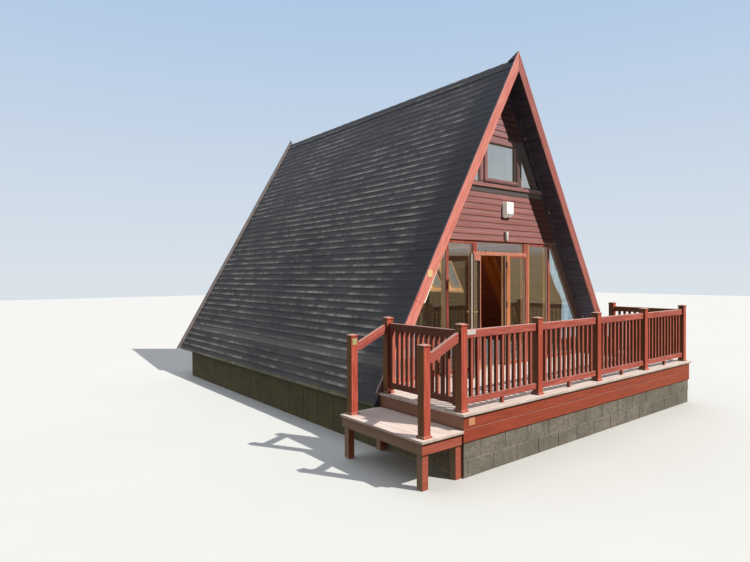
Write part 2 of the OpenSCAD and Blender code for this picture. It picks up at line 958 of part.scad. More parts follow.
module deck_posts() {
    color("brown")
        translate([0, 0, deck_level]) {
            for (i = [0:front_bays])
                translate([post_x0 + i * bay, front_post_y, 0])
                    post();
            for (x = [post_x0, -post_x0])
                translate([x, rear_post_y, 0])
                    post();
        }
}

// Balusters along X between two posts or stiles, starting at the origin
module balusters_between(length, base_h) {
    pitch = length / (balusters + 1);
    for (i = [1:balusters])
        translate([i * pitch - baluster_w / 2, -baluster_w / 2, base_h])
            cube([baluster_w, baluster_w, rail_top_h - top_rail_h - base_h]);
}

// Top rail along X with its two upper edges chamfered
module top_rail(length, t) {
    translate([0, 0, rail_top_h])
        rotate([90, 0, 90])
            linear_extrude(height = length)
                polygon([
                    [-t / 2, -top_rail_h], [t / 2, -top_rail_h], [t / 2, -rail_chamfer],
                    [t / 2 - rail_chamfer, 0], [rail_chamfer - t / 2, 0], [-t / 2, -rail_chamfer]
                ]);
}

// Balustrade panel along X between two posts, with a short foot under the middle
module panel(length) {
    top_rail(length - rail_end_gap, top_rail_t);
    translate([0, -bottom_rail_t / 2, rail_base_h])
        cube([length, bottom_rail_t, bottom_rail_h]);
    balusters_between(length, rail_base_h + bottom_rail_h);
    translate([(length - baluster_w) / 2, -baluster_w / 2, 0])
        cube([baluster_w, baluster_w, rail_base_h]);
}

module front_panel(i) {
    color("brown")
        translate([post_x0 + (i - 1) * bay + post_w / 2, front_post_y, deck_level])
            panel(bay - post_w);
}

module front_panel_1() {
    front_panel(1);
}

module front_panel_2() {
    front_panel(2);
}

module front_panel_3() {
    front_panel(3);
}

module front_panel_4() {
    front_panel(4);
}

module right_panel() {
    color("brown")
        translate([-post_x0, front_post_y + post_w / 2, deck_level])
            rotate([0, 0, 90])
                panel(rear_post_y - front_post_y - post_w);
}

// Block between a rail's end and a post, with a lug under the rail, drawn for a rail that comes along X
module rail_bracket(end_w, rail_h, under_h) {
    lug_l = 45;
    lug_t = 4;
    translate([0, -end_w / 2, under_h - lug_t])
        cube([rail_end_gap, end_w, rail_h]);
    translate([-lug_l, -end_w / 2, under_h - lug_t])
        cube([lug_l, end_w, lug_t]);
}

module rail_brackets() {
    bracket_w = 40;
    color("lightgray")
        translate([0, 0, deck_level]) {
            for (i = [1:front_bays])
                translate([post_x0 + i * bay - post_w / 2 - rail_end_gap, front_post_y, 0])
                    rail_bracket(bracket_w, top_rail_h, rail_top_h - top_rail_h);
            translate([-post_x0, rear_post_y - post_w / 2 - rail_end_gap, 0])
                rotate([0, 0, 90])
                    rail_bracket(bracket_w, top_rail_h, rail_top_h - top_rail_h);
            for (y = newel_y)
                translate([post_x0 - post_w / 2 - rail_end_gap, y - bracket_w / 2,
                           handrail_top_h - handrail_h])
                    cube([rail_end_gap, bracket_w, handrail_h]);
        }
}

module gate() {
    length = gate_y1 - gate_y0;
    color("brown")
        translate([gate_x, gate_y0, deck_level]) {
            rotate([0, 0, 90]) {
                for (x = [0, length - gate_stile_w])
                    translate([x, -gate_t / 2, gate_base_h])
                        cube([gate_stile_w, gate_t, rail_top_h - gate_base_h]);
                translate([gate_stile_w, 0, 0])
                    top_rail(length - 2 * gate_stile_w, gate_t);
                translate([gate_stile_w, -gate_t / 2, rail_base_h])
                    cube([length - 2 * gate_stile_w, gate_t, bottom_rail_h]);
                translate([gate_stile_w, 0, 0])
                    balusters_between(length - 2 * gate_stile_w, rail_base_h + bottom_rail_h);
            }
            for (h = gate_hinge_h)
                translate([gate_t / 2 + gate_stand_off, 0, h]) {
                    cylinder(r = gate_knuckle_r, h = gate_knuckle_h, $fn = round_facets);
                    translate([-gate_stand_off, 0, 0])
                        cube([gate_stand_off, gate_knuckle_r, gate_knuckle_h]);
                }
        }
}

module gate_hinges() {
    color("dimgray")
        translate([gate_axis_x, gate_y0, deck_level])
            for (h = gate_hinge_h)
                translate([0, 0, h - gate_knuckle_h - knuckle_gap]) {
                    cylinder(r = gate_knuckle_r, h = gate_knuckle_h, $fn = round_facets);
                    translate([-gate_knuckle_r, -gate_gap, 0])
                        cube([2 * gate_knuckle_r, gate_gap, gate_knuckle_h]);
                }
}

// Step

module step_tread() {
    color("tan")
        block([step_x0, step_y0, tread_base_h], [step_x1, step_y1, -step_drop]);
}

// The two boards that carry the tread at its front and at its back
module step_side_boards() {
    color("saddlebrown")
        for (y = [step_y0 + nosing, step_y1 - riser_t])
            block([step_x0 + nosing, y, tread_base_h - riser_h], [step_x1, y + riser_t, tread_base_h]);
}

// The board between them under the tread's outer edge
module step_end_board() {
    color("saddlebrown")
        block([step_x0 + nosing, step_y0 + nosing + riser_t, tread_base_h - riser_h],
              [step_x0 + nosing + riser_t, step_y1 - riser_t, tread_base_h]);
}

module step_legs() {
    color("saddlebrown")
        for (x = [step_x0 + nosing + riser_t, step_x1 - step_leg_w])
            for (y = [step_y0 + nosing + riser_t, step_y1 - riser_t - step_leg_w])
                block([x, y, -deck_level], [x + step_leg_w, y + step_leg_w, tread_base_h]);
}

module newel_posts() {
    color("brown")
        for (y = newel_y)
            translate([newel_x, y, deck_level - step_drop])
                post();
}

// Rails that fall from the deck's posts to the newels, level at their lower ends
module handrails() {
    x0 = newel_x + post_w / 2;
    x1 = post_x0 - post_w / 2 - rail_end_gap;
    low_h = handrail_top_h - step_drop;
    color("brown")
        for (y = newel_y)
            along_y(y - handrail_t / 2, y + handrail_t / 2)
                polygon([
                    [x0, low_h], [x0 + handrail_knee, low_h], [x1, handrail_top_h],
                    [x1, handrail_top_h - handrail_h], [x0 + handrail_knee, low_h - handrail_h],
                    [x0, low_h - handrail_h]
                ]);
}

house_front_plinth();
house_rear_plinth();
house_side_plinths();
ground_floor();
upper_floor();
left_roof_slope();
right_roof_slope();
left_lining();
right_lining();
ridge_cap();
front_left_bargeboard();
front_right_bargeboard();
rear_left_bargeboard();
rear_right_bargeboard();
roof_window_frames();
roof_window_glass();
front_left_frame();
front_right_frame();
door_head();
front_glass();
door_leaf();
door_glass();
door_handles();
door_hinges();
front_cladding();
upper_window_frame();
upper_sash();
upper_window_glass();
window_sill();
front_gable_top();
rear_wall();
rear_window_frames();
rear_window_glass();
alarm_box();
wall_lamp();
curtains();
deck_floor();
deck_front_fascia();
deck_side_fascias();
deck_front_plinth();
deck_side_plinths();
deck_posts();
front_panel_1();
front_panel_2();
front_panel_3();
front_panel_4();
right_panel();
rail_brackets();
gate();
gate_hinges();
step_tread();
step_side_boards();
step_end_board();
step_legs();
newel_posts();
handrails();
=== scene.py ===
"""Looks of an A-frame beach hut: finishes, boards, roof laps, blocks, cloth and small fittings.

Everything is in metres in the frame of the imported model: X to the right seen from the front, Y to the
back, Z up. The solids of the frame stay where they are, and the pieces made here sit on them.
"""

import json
import math
import random

import bpy
from mathutils import Color, Matrix, Vector, noise


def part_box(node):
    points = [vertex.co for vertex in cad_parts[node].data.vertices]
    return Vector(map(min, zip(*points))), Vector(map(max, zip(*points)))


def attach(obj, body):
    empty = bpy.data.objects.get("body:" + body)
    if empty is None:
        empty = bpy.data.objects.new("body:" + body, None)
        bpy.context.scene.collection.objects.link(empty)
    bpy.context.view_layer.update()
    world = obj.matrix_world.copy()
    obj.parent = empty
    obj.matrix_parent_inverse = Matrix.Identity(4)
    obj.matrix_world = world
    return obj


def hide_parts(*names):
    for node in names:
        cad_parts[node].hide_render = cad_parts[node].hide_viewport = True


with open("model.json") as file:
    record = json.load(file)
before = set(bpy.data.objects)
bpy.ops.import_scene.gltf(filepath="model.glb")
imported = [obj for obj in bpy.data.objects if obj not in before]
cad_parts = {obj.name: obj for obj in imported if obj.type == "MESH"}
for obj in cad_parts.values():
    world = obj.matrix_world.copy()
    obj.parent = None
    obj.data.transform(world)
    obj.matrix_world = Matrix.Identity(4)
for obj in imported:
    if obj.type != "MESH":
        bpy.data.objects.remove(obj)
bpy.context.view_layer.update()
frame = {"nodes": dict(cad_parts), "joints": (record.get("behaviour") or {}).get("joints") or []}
nodes = frame["nodes"]
dice = random.Random(7)

# Sizes read from the frame
slope_low, slope_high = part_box("right_roof_slope")
ridge_z = slope_high.z
foot_z = slope_low.z
roof_y0 = slope_low.y
roof_y1 = slope_high.y
pitch = math.atan2(ridge_z - foot_z, slope_high.x)
sine = math.sin(pitch)
cosine = math.cos(pitch)
slope_length = (ridge_z - foot_z) / sine
deck_low, deck_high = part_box("deck_floor")
deck_z = deck_high.z
wall_low, wall_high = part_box("front_cladding")
wall_y = wall_low.y
gable_low, gable_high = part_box("front_gable_top")
rear_low, rear_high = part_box("rear_wall")
barge_low, barge_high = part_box("front_left_bargeboard")
door_head_low, door_head_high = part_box("door_head")
fascia_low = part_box("deck_front_fascia")[0]
handrail_low, handrail_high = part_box("handrails")
handrail_t = 0.1
handrail_rise = handrail_high.z - handrail_low.z - handrail_t
handrail_way = Vector((handrail_high.x - handrail_low.x, 0.0, handrail_rise)).normalized()

# Sizes of the boards and laps made here
roof_t = 0.1
lap_pitch = slope_length / 45
lap_lift = 0.0045
lap_lip = 0.03
board_pitch = 0.105

# The open leaf's own directions: along it from the hinge, and across it from its outer face
door_axis = Vector(next(j for j in frame["joints"] if j["name"] == "door_hinge")["pos_m"])
open_angle = math.radians(-147)
leaf_along = Vector((math.cos(open_angle), math.sin(open_angle), 0))
leaf_across = Vector((-math.sin(open_angle), math.cos(open_angle), 0))
hinge_reach = 0.2
leaf_spots = [v.co - door_axis for v in nodes["door_leaf"].data.vertices]
leaf_spots = [spot for spot in leaf_spots if spot.length > hinge_reach]
leaf_reach = max(spot.dot(leaf_along) for spot in leaf_spots)
leaf_face = min(spot.dot(leaf_across) for spot in leaf_spots)
leaf_t = max(spot.dot(leaf_across) for spot in leaf_spots) - leaf_face


def roof_point(side, run, y, lift):
    """A point on a roof slope: run down from the ridge, y along the hut, lift out of the surface."""
    return Vector((side * (run * cosine + lift * sine), y, ridge_z - run * sine + lift * cosine))


def run_at(z):
    """Distance down the roof surface from the ridge to a height."""
    return (ridge_z - z) / sine


def slope_x(z, depth):
    """Half of the width at a height between the two planes at a depth under the roof surface."""
    return (ridge_z - z) / math.tan(pitch) - depth / sine


# Surfaces


finish = {}


def linear(colour):
    """The linear colour that shader nodes use for an 8-bit screen colour."""
    return (*Color([v / 255 for v in colour]).from_srgb_to_scene_linear(), 1.0)


def dim(colour, share):
    """An 8-bit screen colour with its light scaled, by the curve of screen values."""
    offset = 0.055 * 255
    return [(v + offset) * share ** (1 / 2.4) - offset for v in colour]


class Nodes:
    """Short calls that add and link the nodes of a tree. Colours are 8-bit screen colours or sockets."""

    def __init__(self, tree):
        self.tree = tree

    def put(self, socket, value):
        if isinstance(value, bpy.types.NodeSocket):
            self.tree.links.new(value, socket)
        else:
            socket.default_value = linear(value) if socket.type == "RGBA" else value

    def add(self, kind, inputs=None, **settings):
        node = self.tree.nodes.new(kind)
        for key, value in settings.items():
            setattr(node, key, value)
        for key, value in (inputs or {}).items():
            self.put(node.inputs[key], value)
        return node

    def split(self, vector):
        """The sockets X, Y and Z of a vector."""
        return self.add("ShaderNodeSeparateXYZ", {"Vector": vector}).outputs

    def math(self, operation, a, b=0.0):
        return self.add("ShaderNodeMath", {0: a, 1: b}, operation=operation).outputs[0]

    def plus(self, a, b):
        return self.math("ADD", a, b)

    def times(self, a, b):
        return self.math("MULTIPLY", a, b)

    def mix(self, share, a, b):
        return self.add("ShaderNodeMix", {0: share, 6: a, 7: b}, data_type="RGBA").outputs[2]


class Surface(Nodes):
    """A material kept as a finish, with short calls for the patterns that it is made from."""

    def __init__(self, name, roughness, metallic=0.0, specular=0.5):
        finish[name] = bpy.data.materials.new(name)
        finish[name].use_nodes = True
        super().__init__(finish[name].node_tree)
        self.shader = self.tree.nodes["Principled BSDF"]
        self.set({"Roughness": roughness, "Metallic": metallic, "Specular IOR Level": specular})
        source = self.add("ShaderNodeTexCoord").outputs
        self.place = source["Object"]
        self.outward = source["Normal"]
        self.normal = None

    def set(self, values):
        """Sets sockets of the shader by name."""
        for name, value in values.items():
            self.put(self.shader.inputs[name], value)

    def axis(self, name):
        """X, Y or Z of the place on the object."""
        return self.split(self.place)[name]

    def facing(self, name):
        """X, Y or Z of the direction that the surface faces, in the object's own frame."""
        return self.split(self.outward)[name]

    def along(self, start, way):
        """Distance of the place from a point, measured along a direction."""
        away = self.add("ShaderNodeVectorMath", {0: self.place, 1: start}, operation="SUBTRACT").outputs[0]
        return self.add("ShaderNodeVectorMath", {0: away, 1: way}, operation="DOT_PRODUCT").outputs["Value"]

    def ramp(self, value, low, high, to_low=0.0, to_high=1.0):
        """Value rescaled from low..high to to_low..to_high and held there outside."""
        return self.add("ShaderNodeMapRange", {
            "Value": value, "From Min": low, "From Max": high, "To Min": to_low, "To Max": to_high,
        }, interpolation_type="SMOOTHSTEP").outputs["Result"]

    def blend(self, value, low, high, a, b, share=1.0):
        """Colour a where value is at low, passing to a share of colour b where it is at high."""
        return self.mix(self.ramp(value, low, high, 0.0, share), a, b)

    def between(self, value, low, high, soft=0.002):
        """1 where value is between low and high, else 0."""
        over = self.ramp(value, low - soft, low + soft)
        return self.times(over, self.ramp(value, high + soft, high - soft))

    def cloud(self, spot, detail, roughness):
        """Noise over a vector, one wave a unit."""
        return self.add("ShaderNodeTexNoise", {
            "Vector": spot, "Scale": 1.0, "Detail": detail, "Roughness": roughness,
        }).outputs["Fac"]

    def noise(self, stretch, detail=3.0, roughness=0.55, shift=0.0):
        """Noise with its own frequency along X, Y and Z, in waves a metre."""
        spot = self.add("ShaderNodeMapping", {
            "Vector": self.place, "Scale": stretch, "Location": (shift, shift, shift),
        }).outputs[0]
        return self.cloud(spot, detail, roughness)

    def spot(self, x, y, z):
        return self.add("ShaderNodeCombineXYZ", {"X": x, "Y": y, "Z": z}).outputs[0]

    def sloping_noise(self, start, way, along, across):
        """Noise drawn out along a direction in the XZ plane, in waves a metre along it and across it."""
        length = self.times(self.along(start, way), along)
        depth = self.times(self.axis("Y"), across)
        width = self.times(self.along(start, (-way[2], 0.0, way[0])), across)
        return self.cloud(self.spot(length, depth, width), 5.0, 0.6)

    def phase(self, value, spacing):
        """How far value is through a step of the spacing, from 0 to 1."""
        return self.math("FRACT", self.math("DIVIDE", value, spacing))

    def by_step(self, value, spacing, seed=0.0):
        """A shade from 0 to 1 that changes at every spacing along value."""
        step = self.math("FLOOR", self.math("DIVIDE", value, spacing))
        turn = self.plus(step, seed)
        return self.add("ShaderNodeTexWhiteNoise", {"W": turn}, noise_dimensions="1D").outputs["Value"]

    def lines(self, value, spacing, width):
        """1 in a thin line at every spacing along value, else 0."""
        away = self.math("ABSOLUTE", self.math("SUBTRACT", self.phase(value, spacing), 0.5))
        return self.ramp(away, 0.5 - width / spacing, 0.5 - 0.4 * width / spacing)

    def bump(self, height, depth):
        """Adds relief of a depth in metres."""
        node = self.add("ShaderNodeBump", {"Height": height, "Strength": 1.0, "Distance": depth})
        if self.normal is not None:
            self.put(node.inputs["Normal"], self.normal)
        self.normal = node.outputs["Normal"]

    def done(self, colour, glow=0.0):
        """Sets the colour. Where glow is set, the surface also gives off light of its own colour, painted
        light that shows it in the shade too.
        """
        self.set({"Base Color": colour})
        # Painted light: the surface glows in its own colour.
        if glow:
            self.set({"Emission Color": colour, "Emission Strength": glow})
        if self.normal is not None:
            self.set({"Normal": self.normal})


def wood_grain(s, stretch, dark, light):
    """Grain and slow patches between two colours, and the grain for the relief."""
    grain = s.noise(stretch, 6.0, 0.65)
    patches = s.noise((0.9, 0.9, 0.9), 3.0, 0.6, 3.1)
    colour = s.blend(grain, 0.34, 0.68, dark, light)
    return s.blend(patches, 0.45, 0.75, colour, dark, 0.4), grain


def weathered_and_shaded(s, colour, turned=None, top=None, top_share=0.75):
    """Colour of the faces that look to the front. It changes on the faces turned away, partly weathering and
    partly painted shade, and on the tops.
    """
    if turned:
        # Painted shade, in part: faces turned away from the front take the darker turned colour.
        colour = s.blend(s.facing("Y"), -0.75, -0.45, colour, turned)
    if top:
        colour = s.blend(s.facing("Z"), 0.5, 0.9, colour, top, top_share)
    return colour


def timber(name, dark, light, stretch, roughness=0.5, turned=None, top=None, board=None, glow=0.0):
    """Stained wood with grain. turned and top are the colours of the faces turned away and upwards.

    board is (axis, spacing) for a shade that changes from board to board.
    """
    s = Surface(name, roughness)
    colour, grain = wood_grain(s, stretch, dark, light)
    if board:
        shade = s.by_step(s.axis(board[0]), board[1])
        colour = s.blend(shade, 0.0, 1.0, colour, dark, 0.35)
    if turned:
        turned = s.blend(grain, 0.3, 0.7, dim(turned, 0.8), turned)
    s.bump(grain, 0.0008)
    s.done(weathered_and_shaded(s, colour, turned, top), glow)


def barge_timber(name, side, dark, light):
    """Stained boards up the slope, mauve on their edges, which is partly painted shade, and paler grey at the
    foot.
    """
    s = Surface(name, 0.45)
    down = (side * cosine, 0.0, -sine)
    grain = s.sloping_noise((0.0, 0.0, ridge_z), down, 2.5, 45.0)
    colour = s.blend(grain, 0.34, 0.66, dark, light)
    # Painted shade, in part: mauve on the edges and tops turned from the front.
    colour = weathered_and_shaded(s, colour, (104, 84, 90), (120, 96, 100))
    ragged = s.plus(s.axis("Z"), s.times(grain, 0.1))
    colour = s.blend(ragged, deck_z + 0.52, deck_z + 0.42, colour, (146, 122, 120))
    s.bump(grain, 0.0005)
    s.done(colour)


def rail_timber(name, dark, light, side, rails=True, slope=None):
    """Stained wood, red on the front and brown elsewhere, the brown partly painted shade, grained along each
    member.

    rails is set where the members at the top and at the foot are level ones, and slope is the
    direction of members that are all sloping.
    """
    s = Surface(name, 0.5, specular=0.25)
    grain = s.noise((90, 90, 3), 5.0, 0.6)
    if slope:
        grain = s.sloping_noise((0.0, 0.0, 0.0), slope, 3.0, 90.0)
    elif rails:
        height = s.axis("Z")
        top_rail = s.ramp(height, deck_z + 0.85, deck_z + 0.87)
        low_rail = s.ramp(height, deck_z + 0.16, deck_z + 0.15)
        share = s.math("MAXIMUM", top_rail, low_rail)
        level = s.times(s.noise((3, 3, 90), 5.0, 0.6), share)
        grain = s.plus(level, s.times(grain, s.math("SUBTRACT", 1.0, share)))
    colour = s.blend(grain, 0.36, 0.66, dark, light)
    colour = s.blend(s.noise((1.7, 1.7, 1.7), 3.0, 0.6), 0.42, 0.75, colour, dark, 0.5)
    # Painted shade, in part: the brown of the faces turned from the front.
    brown = s.blend(grain, 0.34, 0.7, dim(side, 0.7), side)
    s.bump(grain, 0.0006)
    s.done(weathered_and_shaded(s, colour, brown, grey_top, 0.6))


def front_frame(name):
    """Window and door frames: red stain outside, a pale seal at the glass and clear pine inside, with painted
    shade on the right sloping members and inside the lock post, and painted light on faces turned to the
    left.
    """
    s = Surface(name, 0.4, specular=0.2)
    across = s.axis("X")
    depth = s.axis("Y")
    height = s.axis("Z")
    red, grain = wood_grain(s, (22, 22, 2.0), *red_stain)
    fine = s.noise((40, 40, 60), 3.0, 0.6)
    mauve = s.blend(fine, 0.3, 0.7, (138, 100, 98), (162, 118, 114))
    # The right stile and the bottom rail of the upper window are darker.
    dark_stile_and_rail = s.math("MAXIMUM", s.between(across, 0.385, 0.55), s.between(height, deck_z + 3.19, deck_z + 3.25))
    mauve = s.mix(s.times(dark_stile_and_rail, 0.75), mauve, (84, 68, 66))
    red = s.blend(height, deck_z + 3.0, deck_z + 3.1, red, mauve)
    stile = s.between(across, 0.744, 0.796)
    red = s.mix(s.times(stile, 0.6), red, (214, 140, 96))
    red = s.mix(s.between(across, 0.734, 0.744), red, (88, 44, 38))
    by_door = s.ramp(height, deck_z + 2.0, deck_z + 1.99)
    lock_post = s.times(s.between(across, 0.14, 0.232), by_door)
    orange = s.blend(grain, 0.35, 0.65, (176, 104, 66), (206, 138, 98))
    red = s.mix(lock_post, red, orange)
    rail = s.times(s.between(height, door_head_low.z, door_head_low.z + 0.06),
                   s.between(across, door_head_low.x, door_head_high.x))
    red = s.mix(rail, red, s.blend(grain, 0.35, 0.65, (188, 114, 92), (208, 146, 124)))
    pine = s.blend(grain, 0.35, 0.65, (206, 156, 108), (232, 192, 146))
    # Painted shade: inside the lock post, where the door jamb is in shade, the pine is dark.
    pine = s.mix(lock_post, pine, (96, 46, 28))
    colour = s.blend(depth, wall_y + 0.048, wall_y + 0.052, red, pine)
    colour = s.mix(s.between(depth, wall_y + 0.024, wall_y + 0.048, 0.001), colour, (206, 200, 184))
    # Painted shade: parts near the right roof surface, the sloping members under the right overhang, are
    # near-black.
    lift = s.along((0.0, 0.0, ridge_z), (sine, 0.0, cosine))
    colour = s.blend(lift, -roof_t - 0.155, -roof_t - 0.15, colour, (58, 40, 38), 0.8)
    # Painted light: faces turned to the left give off a faint light of their own colour.
    left_face_glow = s.blend(s.facing("X"), -0.4, -0.8, (0, 0, 0), colour)
    s.set({"Emission Color": left_face_glow, "Emission Strength": 0.22})
    s.bump(grain, 0.0005)
    s.done(colour)


def leaf_timber(name):
    """The door leaf in layers: a dark outer face, mauve stain, a dark rebate and a red-brown inside."""
    s = Surface(name, 0.38)
    reach = s.along(door_axis, leaf_along)
    depth = s.along(door_axis, leaf_across)
    grain = s.noise((40, 40, 2.5), 5.0, 0.6)
    outer = s.blend(grain, 0.35, 0.65, (136, 92, 80), (170, 122, 106))
    inner = s.blend(grain, 0.35, 0.65, (166, 86, 68), (196, 112, 90))
    inner = s.blend(reach, leaf_reach - 0.13, leaf_reach - 0.1, inner, (96, 66, 56))
    outer = s.blend(depth, leaf_face + 0.014, leaf_face + 0.018, (64, 50, 44), outer)
    colour = s.blend(depth, leaf_face + 0.032, leaf_face + 0.036, outer, (84, 58, 50))
    colour = s.blend(depth, leaf_face + leaf_t - 0.003, leaf_face + leaf_t - 0.001, colour, inner)
    s.bump(grain, 0.0005)
    s.done(colour)


def roof_felt(name):
    """Near-black felt laps with pale streaks in long patches near each lower edge, partly wear and partly
    painted highlight of grazing sun, and moss at the foot.
    """
    s = Surface(name, 0.85)
    length = s.axis("Y")
    run = s.math("DIVIDE", s.math("SUBTRACT", ridge_z, s.axis("Z")), sine)
    phase = s.phase(run, lap_pitch)
    course = s.times(s.math("FLOOR", s.math("DIVIDE", run, lap_pitch)), 0.21)
    offset = s.times(s.by_step(run, lap_pitch, 3.0), 40.0)
    # Painted highlight, in part: pale streaks near each lap's lower edge, where grazing sun catches the
    # lifted laps.
    streak = s.times(s.ramp(phase, 0.5, 0.82), s.ramp(phase, 1.0, 0.92))
    for waves, seed, low, high, least in ((1.7, 0.0, 0.36, 0.6, 0.1), (6.5, 7.0, 0.34, 0.62, 0.4)):
        spot = s.spot(course, s.plus(s.times(length, waves), offset), seed)
        streak = s.times(streak, s.ramp(s.cloud(spot, 4.0, 0.6), low, high, least))
    streak = s.times(streak, s.ramp(s.noise((0.42, 0.42, 0.62), 4.0, 0.6, 2.0), 0.38, 0.56, 0.25))
    # Painted shadow: few streaks within a metre of the front, where the bargeboard's shadow falls.
    streak = s.times(streak, s.ramp(length, roof_y0 + 0.35, roof_y0 + 1.0, 0.03))
    soft = s.noise((0.45, 0.45, 0.45), 3.0, 0.6, 9.0)
    smear = s.noise((3.0, 2.0, 14.0), 4.0, 0.6, 4.0)
    colour = s.blend(soft, 0.35, 0.7, (52, 51, 54), (66, 65, 67))
    # Painted reflection: the upper half turns lighter and bluer towards the ridge, as reflected sky.
    colour = s.blend(run, slope_length * 0.5, slope_length * 0.1, colour, (80, 80, 92), 0.5)
    colour = s.blend(smear, 0.42, 0.7, colour, (90, 88, 86), 0.25)
    colour = s.mix(streak, colour, (158, 154, 147))
    # Painted shade: a darker line at each lap's lower edge.
    colour = s.blend(phase, 0.9, 0.99, colour, (46, 46, 50), 0.3)
    low_band = s.times(s.ramp(run, slope_length - 0.78, slope_length - 0.7),
                       s.ramp(run, slope_length - 0.5, slope_length - 0.6))
    colour = s.mix(s.times(low_band, 0.3), colour, (130, 126, 120))
    ragged = s.plus(s.axis("Z"), s.times(s.noise((1.5, 1.5, 1.5), 3.0), -0.2))
    colour = s.blend(ragged, foot_z - 0.04, foot_z - 0.08, colour, (84, 84, 44), 0.7)
    s.bump(s.noise((130, 130, 130), 2.0, 0.6), 0.0012)
    s.bump(s.noise((2.0, 1.3, 9.0), 4.0, 0.6, 6.0), 0.006)
    s.done(colour)


def cladding(name, start, dark, light):
    """Stained boards, redder towards the lower edge of each, with painted shade on the bevelled upper edge.
    start is the height of the lowest edge.
    """
    s = Surface(name, 0.6, specular=0.08)
    colour, grain = wood_grain(s, (1.0, 1.0, 40), dark, light)
    height = s.math("SUBTRACT", s.axis("Z"), start)
    phase = s.phase(height, board_pitch)
    colour = s.blend(s.by_step(height, board_pitch), 0.0, 1.0, colour, dark, 0.3)
    colour = s.blend(phase, 0.5, 0.1, colour, (168, 98, 90), 0.6)
    # Painted shade: the bevelled upper edge of each board is dark, as the shadow at the joint.
    colour = s.blend(phase, 0.85, 0.9, colour, (80, 54, 54), 0.6)
    s.bump(grain, 0.0004)
    s.done(colour)


def soffit_wood(name, dark, light):
    """Near-black stained boards under the roof's overhang."""
    s = Surface(name, 0.6, specular=0.2)
    s.done(s.blend(s.noise((30, 2, 30), 4.0, 0.6), 0.35, 0.7, dark, light))


def masonry(name, dark, light, stain):
    """Rough block with weather streaks down it."""
    s = Surface(name, 0.9)
    coarse = s.noise((26, 26, 26), 4.0, 0.7)
    fine = s.noise((140, 140, 140), 3.0, 0.7)
    slow = s.noise((2.2, 2.2, 4.6), 2.0, 0.5, 8.0)
    runs = s.noise((7, 7, 0.7), 4.0, 0.6, 5.0)
    colour = s.blend(coarse, 0.25, 0.75, dark, light)
    colour = s.blend(slow, 0.35, 0.65, colour, stain, 0.55)
    colour = s.blend(runs, 0.5, 0.72, colour, stain, 0.5)
    s.bump(s.plus(coarse, s.times(fine, 0.5)), 0.002)
    s.done(colour)


def plain(name, colour, roughness, metallic=0.0, speckle=0.06, glow=0.0):
    """Moulded plastic or metal with a faint unevenness."""
    s = Surface(name, roughness, metallic)
    mottle = s.noise((25, 25, 25), 4.0, 0.6)
    s.bump(s.noise((300, 300, 300), 2.0), 0.0002)
    s.done(s.blend(mottle, 0.4, 0.75, colour, dim(colour, 1 - 4 * speckle)), glow)


def lamp_cover(name):
    """The wall lamp: white on the faces that look to the front and ribbed grey on the faces turned from it.
    """
    s = Surface(name, 0.3)
    ribs = s.mix(s.lines(s.axis("Z"), 0.02, 0.004), (206, 202, 194), (120, 114, 108))
    s.done(s.blend(s.facing("Y"), -0.85, -0.6, (236, 234, 226), ribs))


def pane(name, colour, alpha, ior, metallic=0.0):
    """Glass: clear in part, with a surface that mirrors what is in front of it. Where it is not metallic, its
    colour is painted: the surroundings reflected in it and seen through it.
    """
    s = Surface(name, 0.02, metallic)
    s.set({"IOR": ior, "Alpha": alpha, "Coat Weight": 1.0, "Coat Roughness": 0.01, "Coat IOR": ior})
    wave = s.noise((1.6, 1.6, 1.1), 2.0, 0.5)
    s.bump(wave, 0.0015)
    s.done(s.blend(wave, 0.35, 0.7, colour, dim(colour, 0.8)))


def cloth(name, colour, shade):
    """Thin gathered cloth that glows in its own colour, painted light for the daylight through it."""
    s = Surface(name, 0.85)
    s.set({"Sheen Weight": 0.3})
    s.bump(s.noise((420, 420, 420), 2.0), 0.0004)
    # Painted light: the cloth glows in its own colour.
    s.done(s.blend(s.noise((26, 26, 1.2), 3.0), 0.35, 0.7, colour, shade), 0.75)


def lining_boards(name, axis, stretch, dark, light):
    """Clear-finished boards with a groove at every board's edge along the axis."""
    s = Surface(name, 0.45)
    colour = s.blend(s.noise(stretch, 5.0, 0.6), 0.3, 0.7, dark, light)
    groove = s.lines(s.axis(axis), 0.12, 0.006)
    s.bump(s.times(groove, -1.0), 0.003)
    s.done(s.mix(groove, colour, dim(dark, 0.3)))


grey_top = (196, 160, 150)
red_stain = ((140, 66, 54), (184, 104, 88))
rail_stain_and_shade = ((150, 68, 60), (194, 108, 94), (112, 74, 46))
roof_felt("roof")
soffit_wood("soffit", (74, 72, 84), (100, 98, 114))
barge_timber("barge", -1, (198, 104, 90), (228, 146, 131))
barge_timber("right_barge", 1, (144, 72, 62), (176, 102, 92))
timber("rear_barge", (98, 90, 88), (124, 114, 112), (3, 3, 9), 0.6, top=(150, 140, 136))
cladding("cladding", wall_low.z, (144, 101, 98), (180, 133, 129))
cladding("gable", gable_low.z, (146, 110, 112), (180, 144, 146))
cladding("rear_cladding", rear_low.z, (144, 100, 95), (178, 130, 124))
front_frame("frame")
timber("rear_frame", *red_stain, (22, 22, 2.0), 0.4)
timber("sill", (138, 88, 84), (168, 116, 110), (2.0, 22, 22), 0.4, top=(214, 166, 156))
leaf_timber("door")
lining_boards("lining", "Z", (4, 1.5, 40), (122, 60, 44), (164, 88, 64))
lining_boards("ceiling", "Y", (3, 40, 3), (140, 74, 34), (196, 118, 62))
timber("rafter", (176, 92, 32), (206, 120, 46), (30, 30, 3), 0.4)
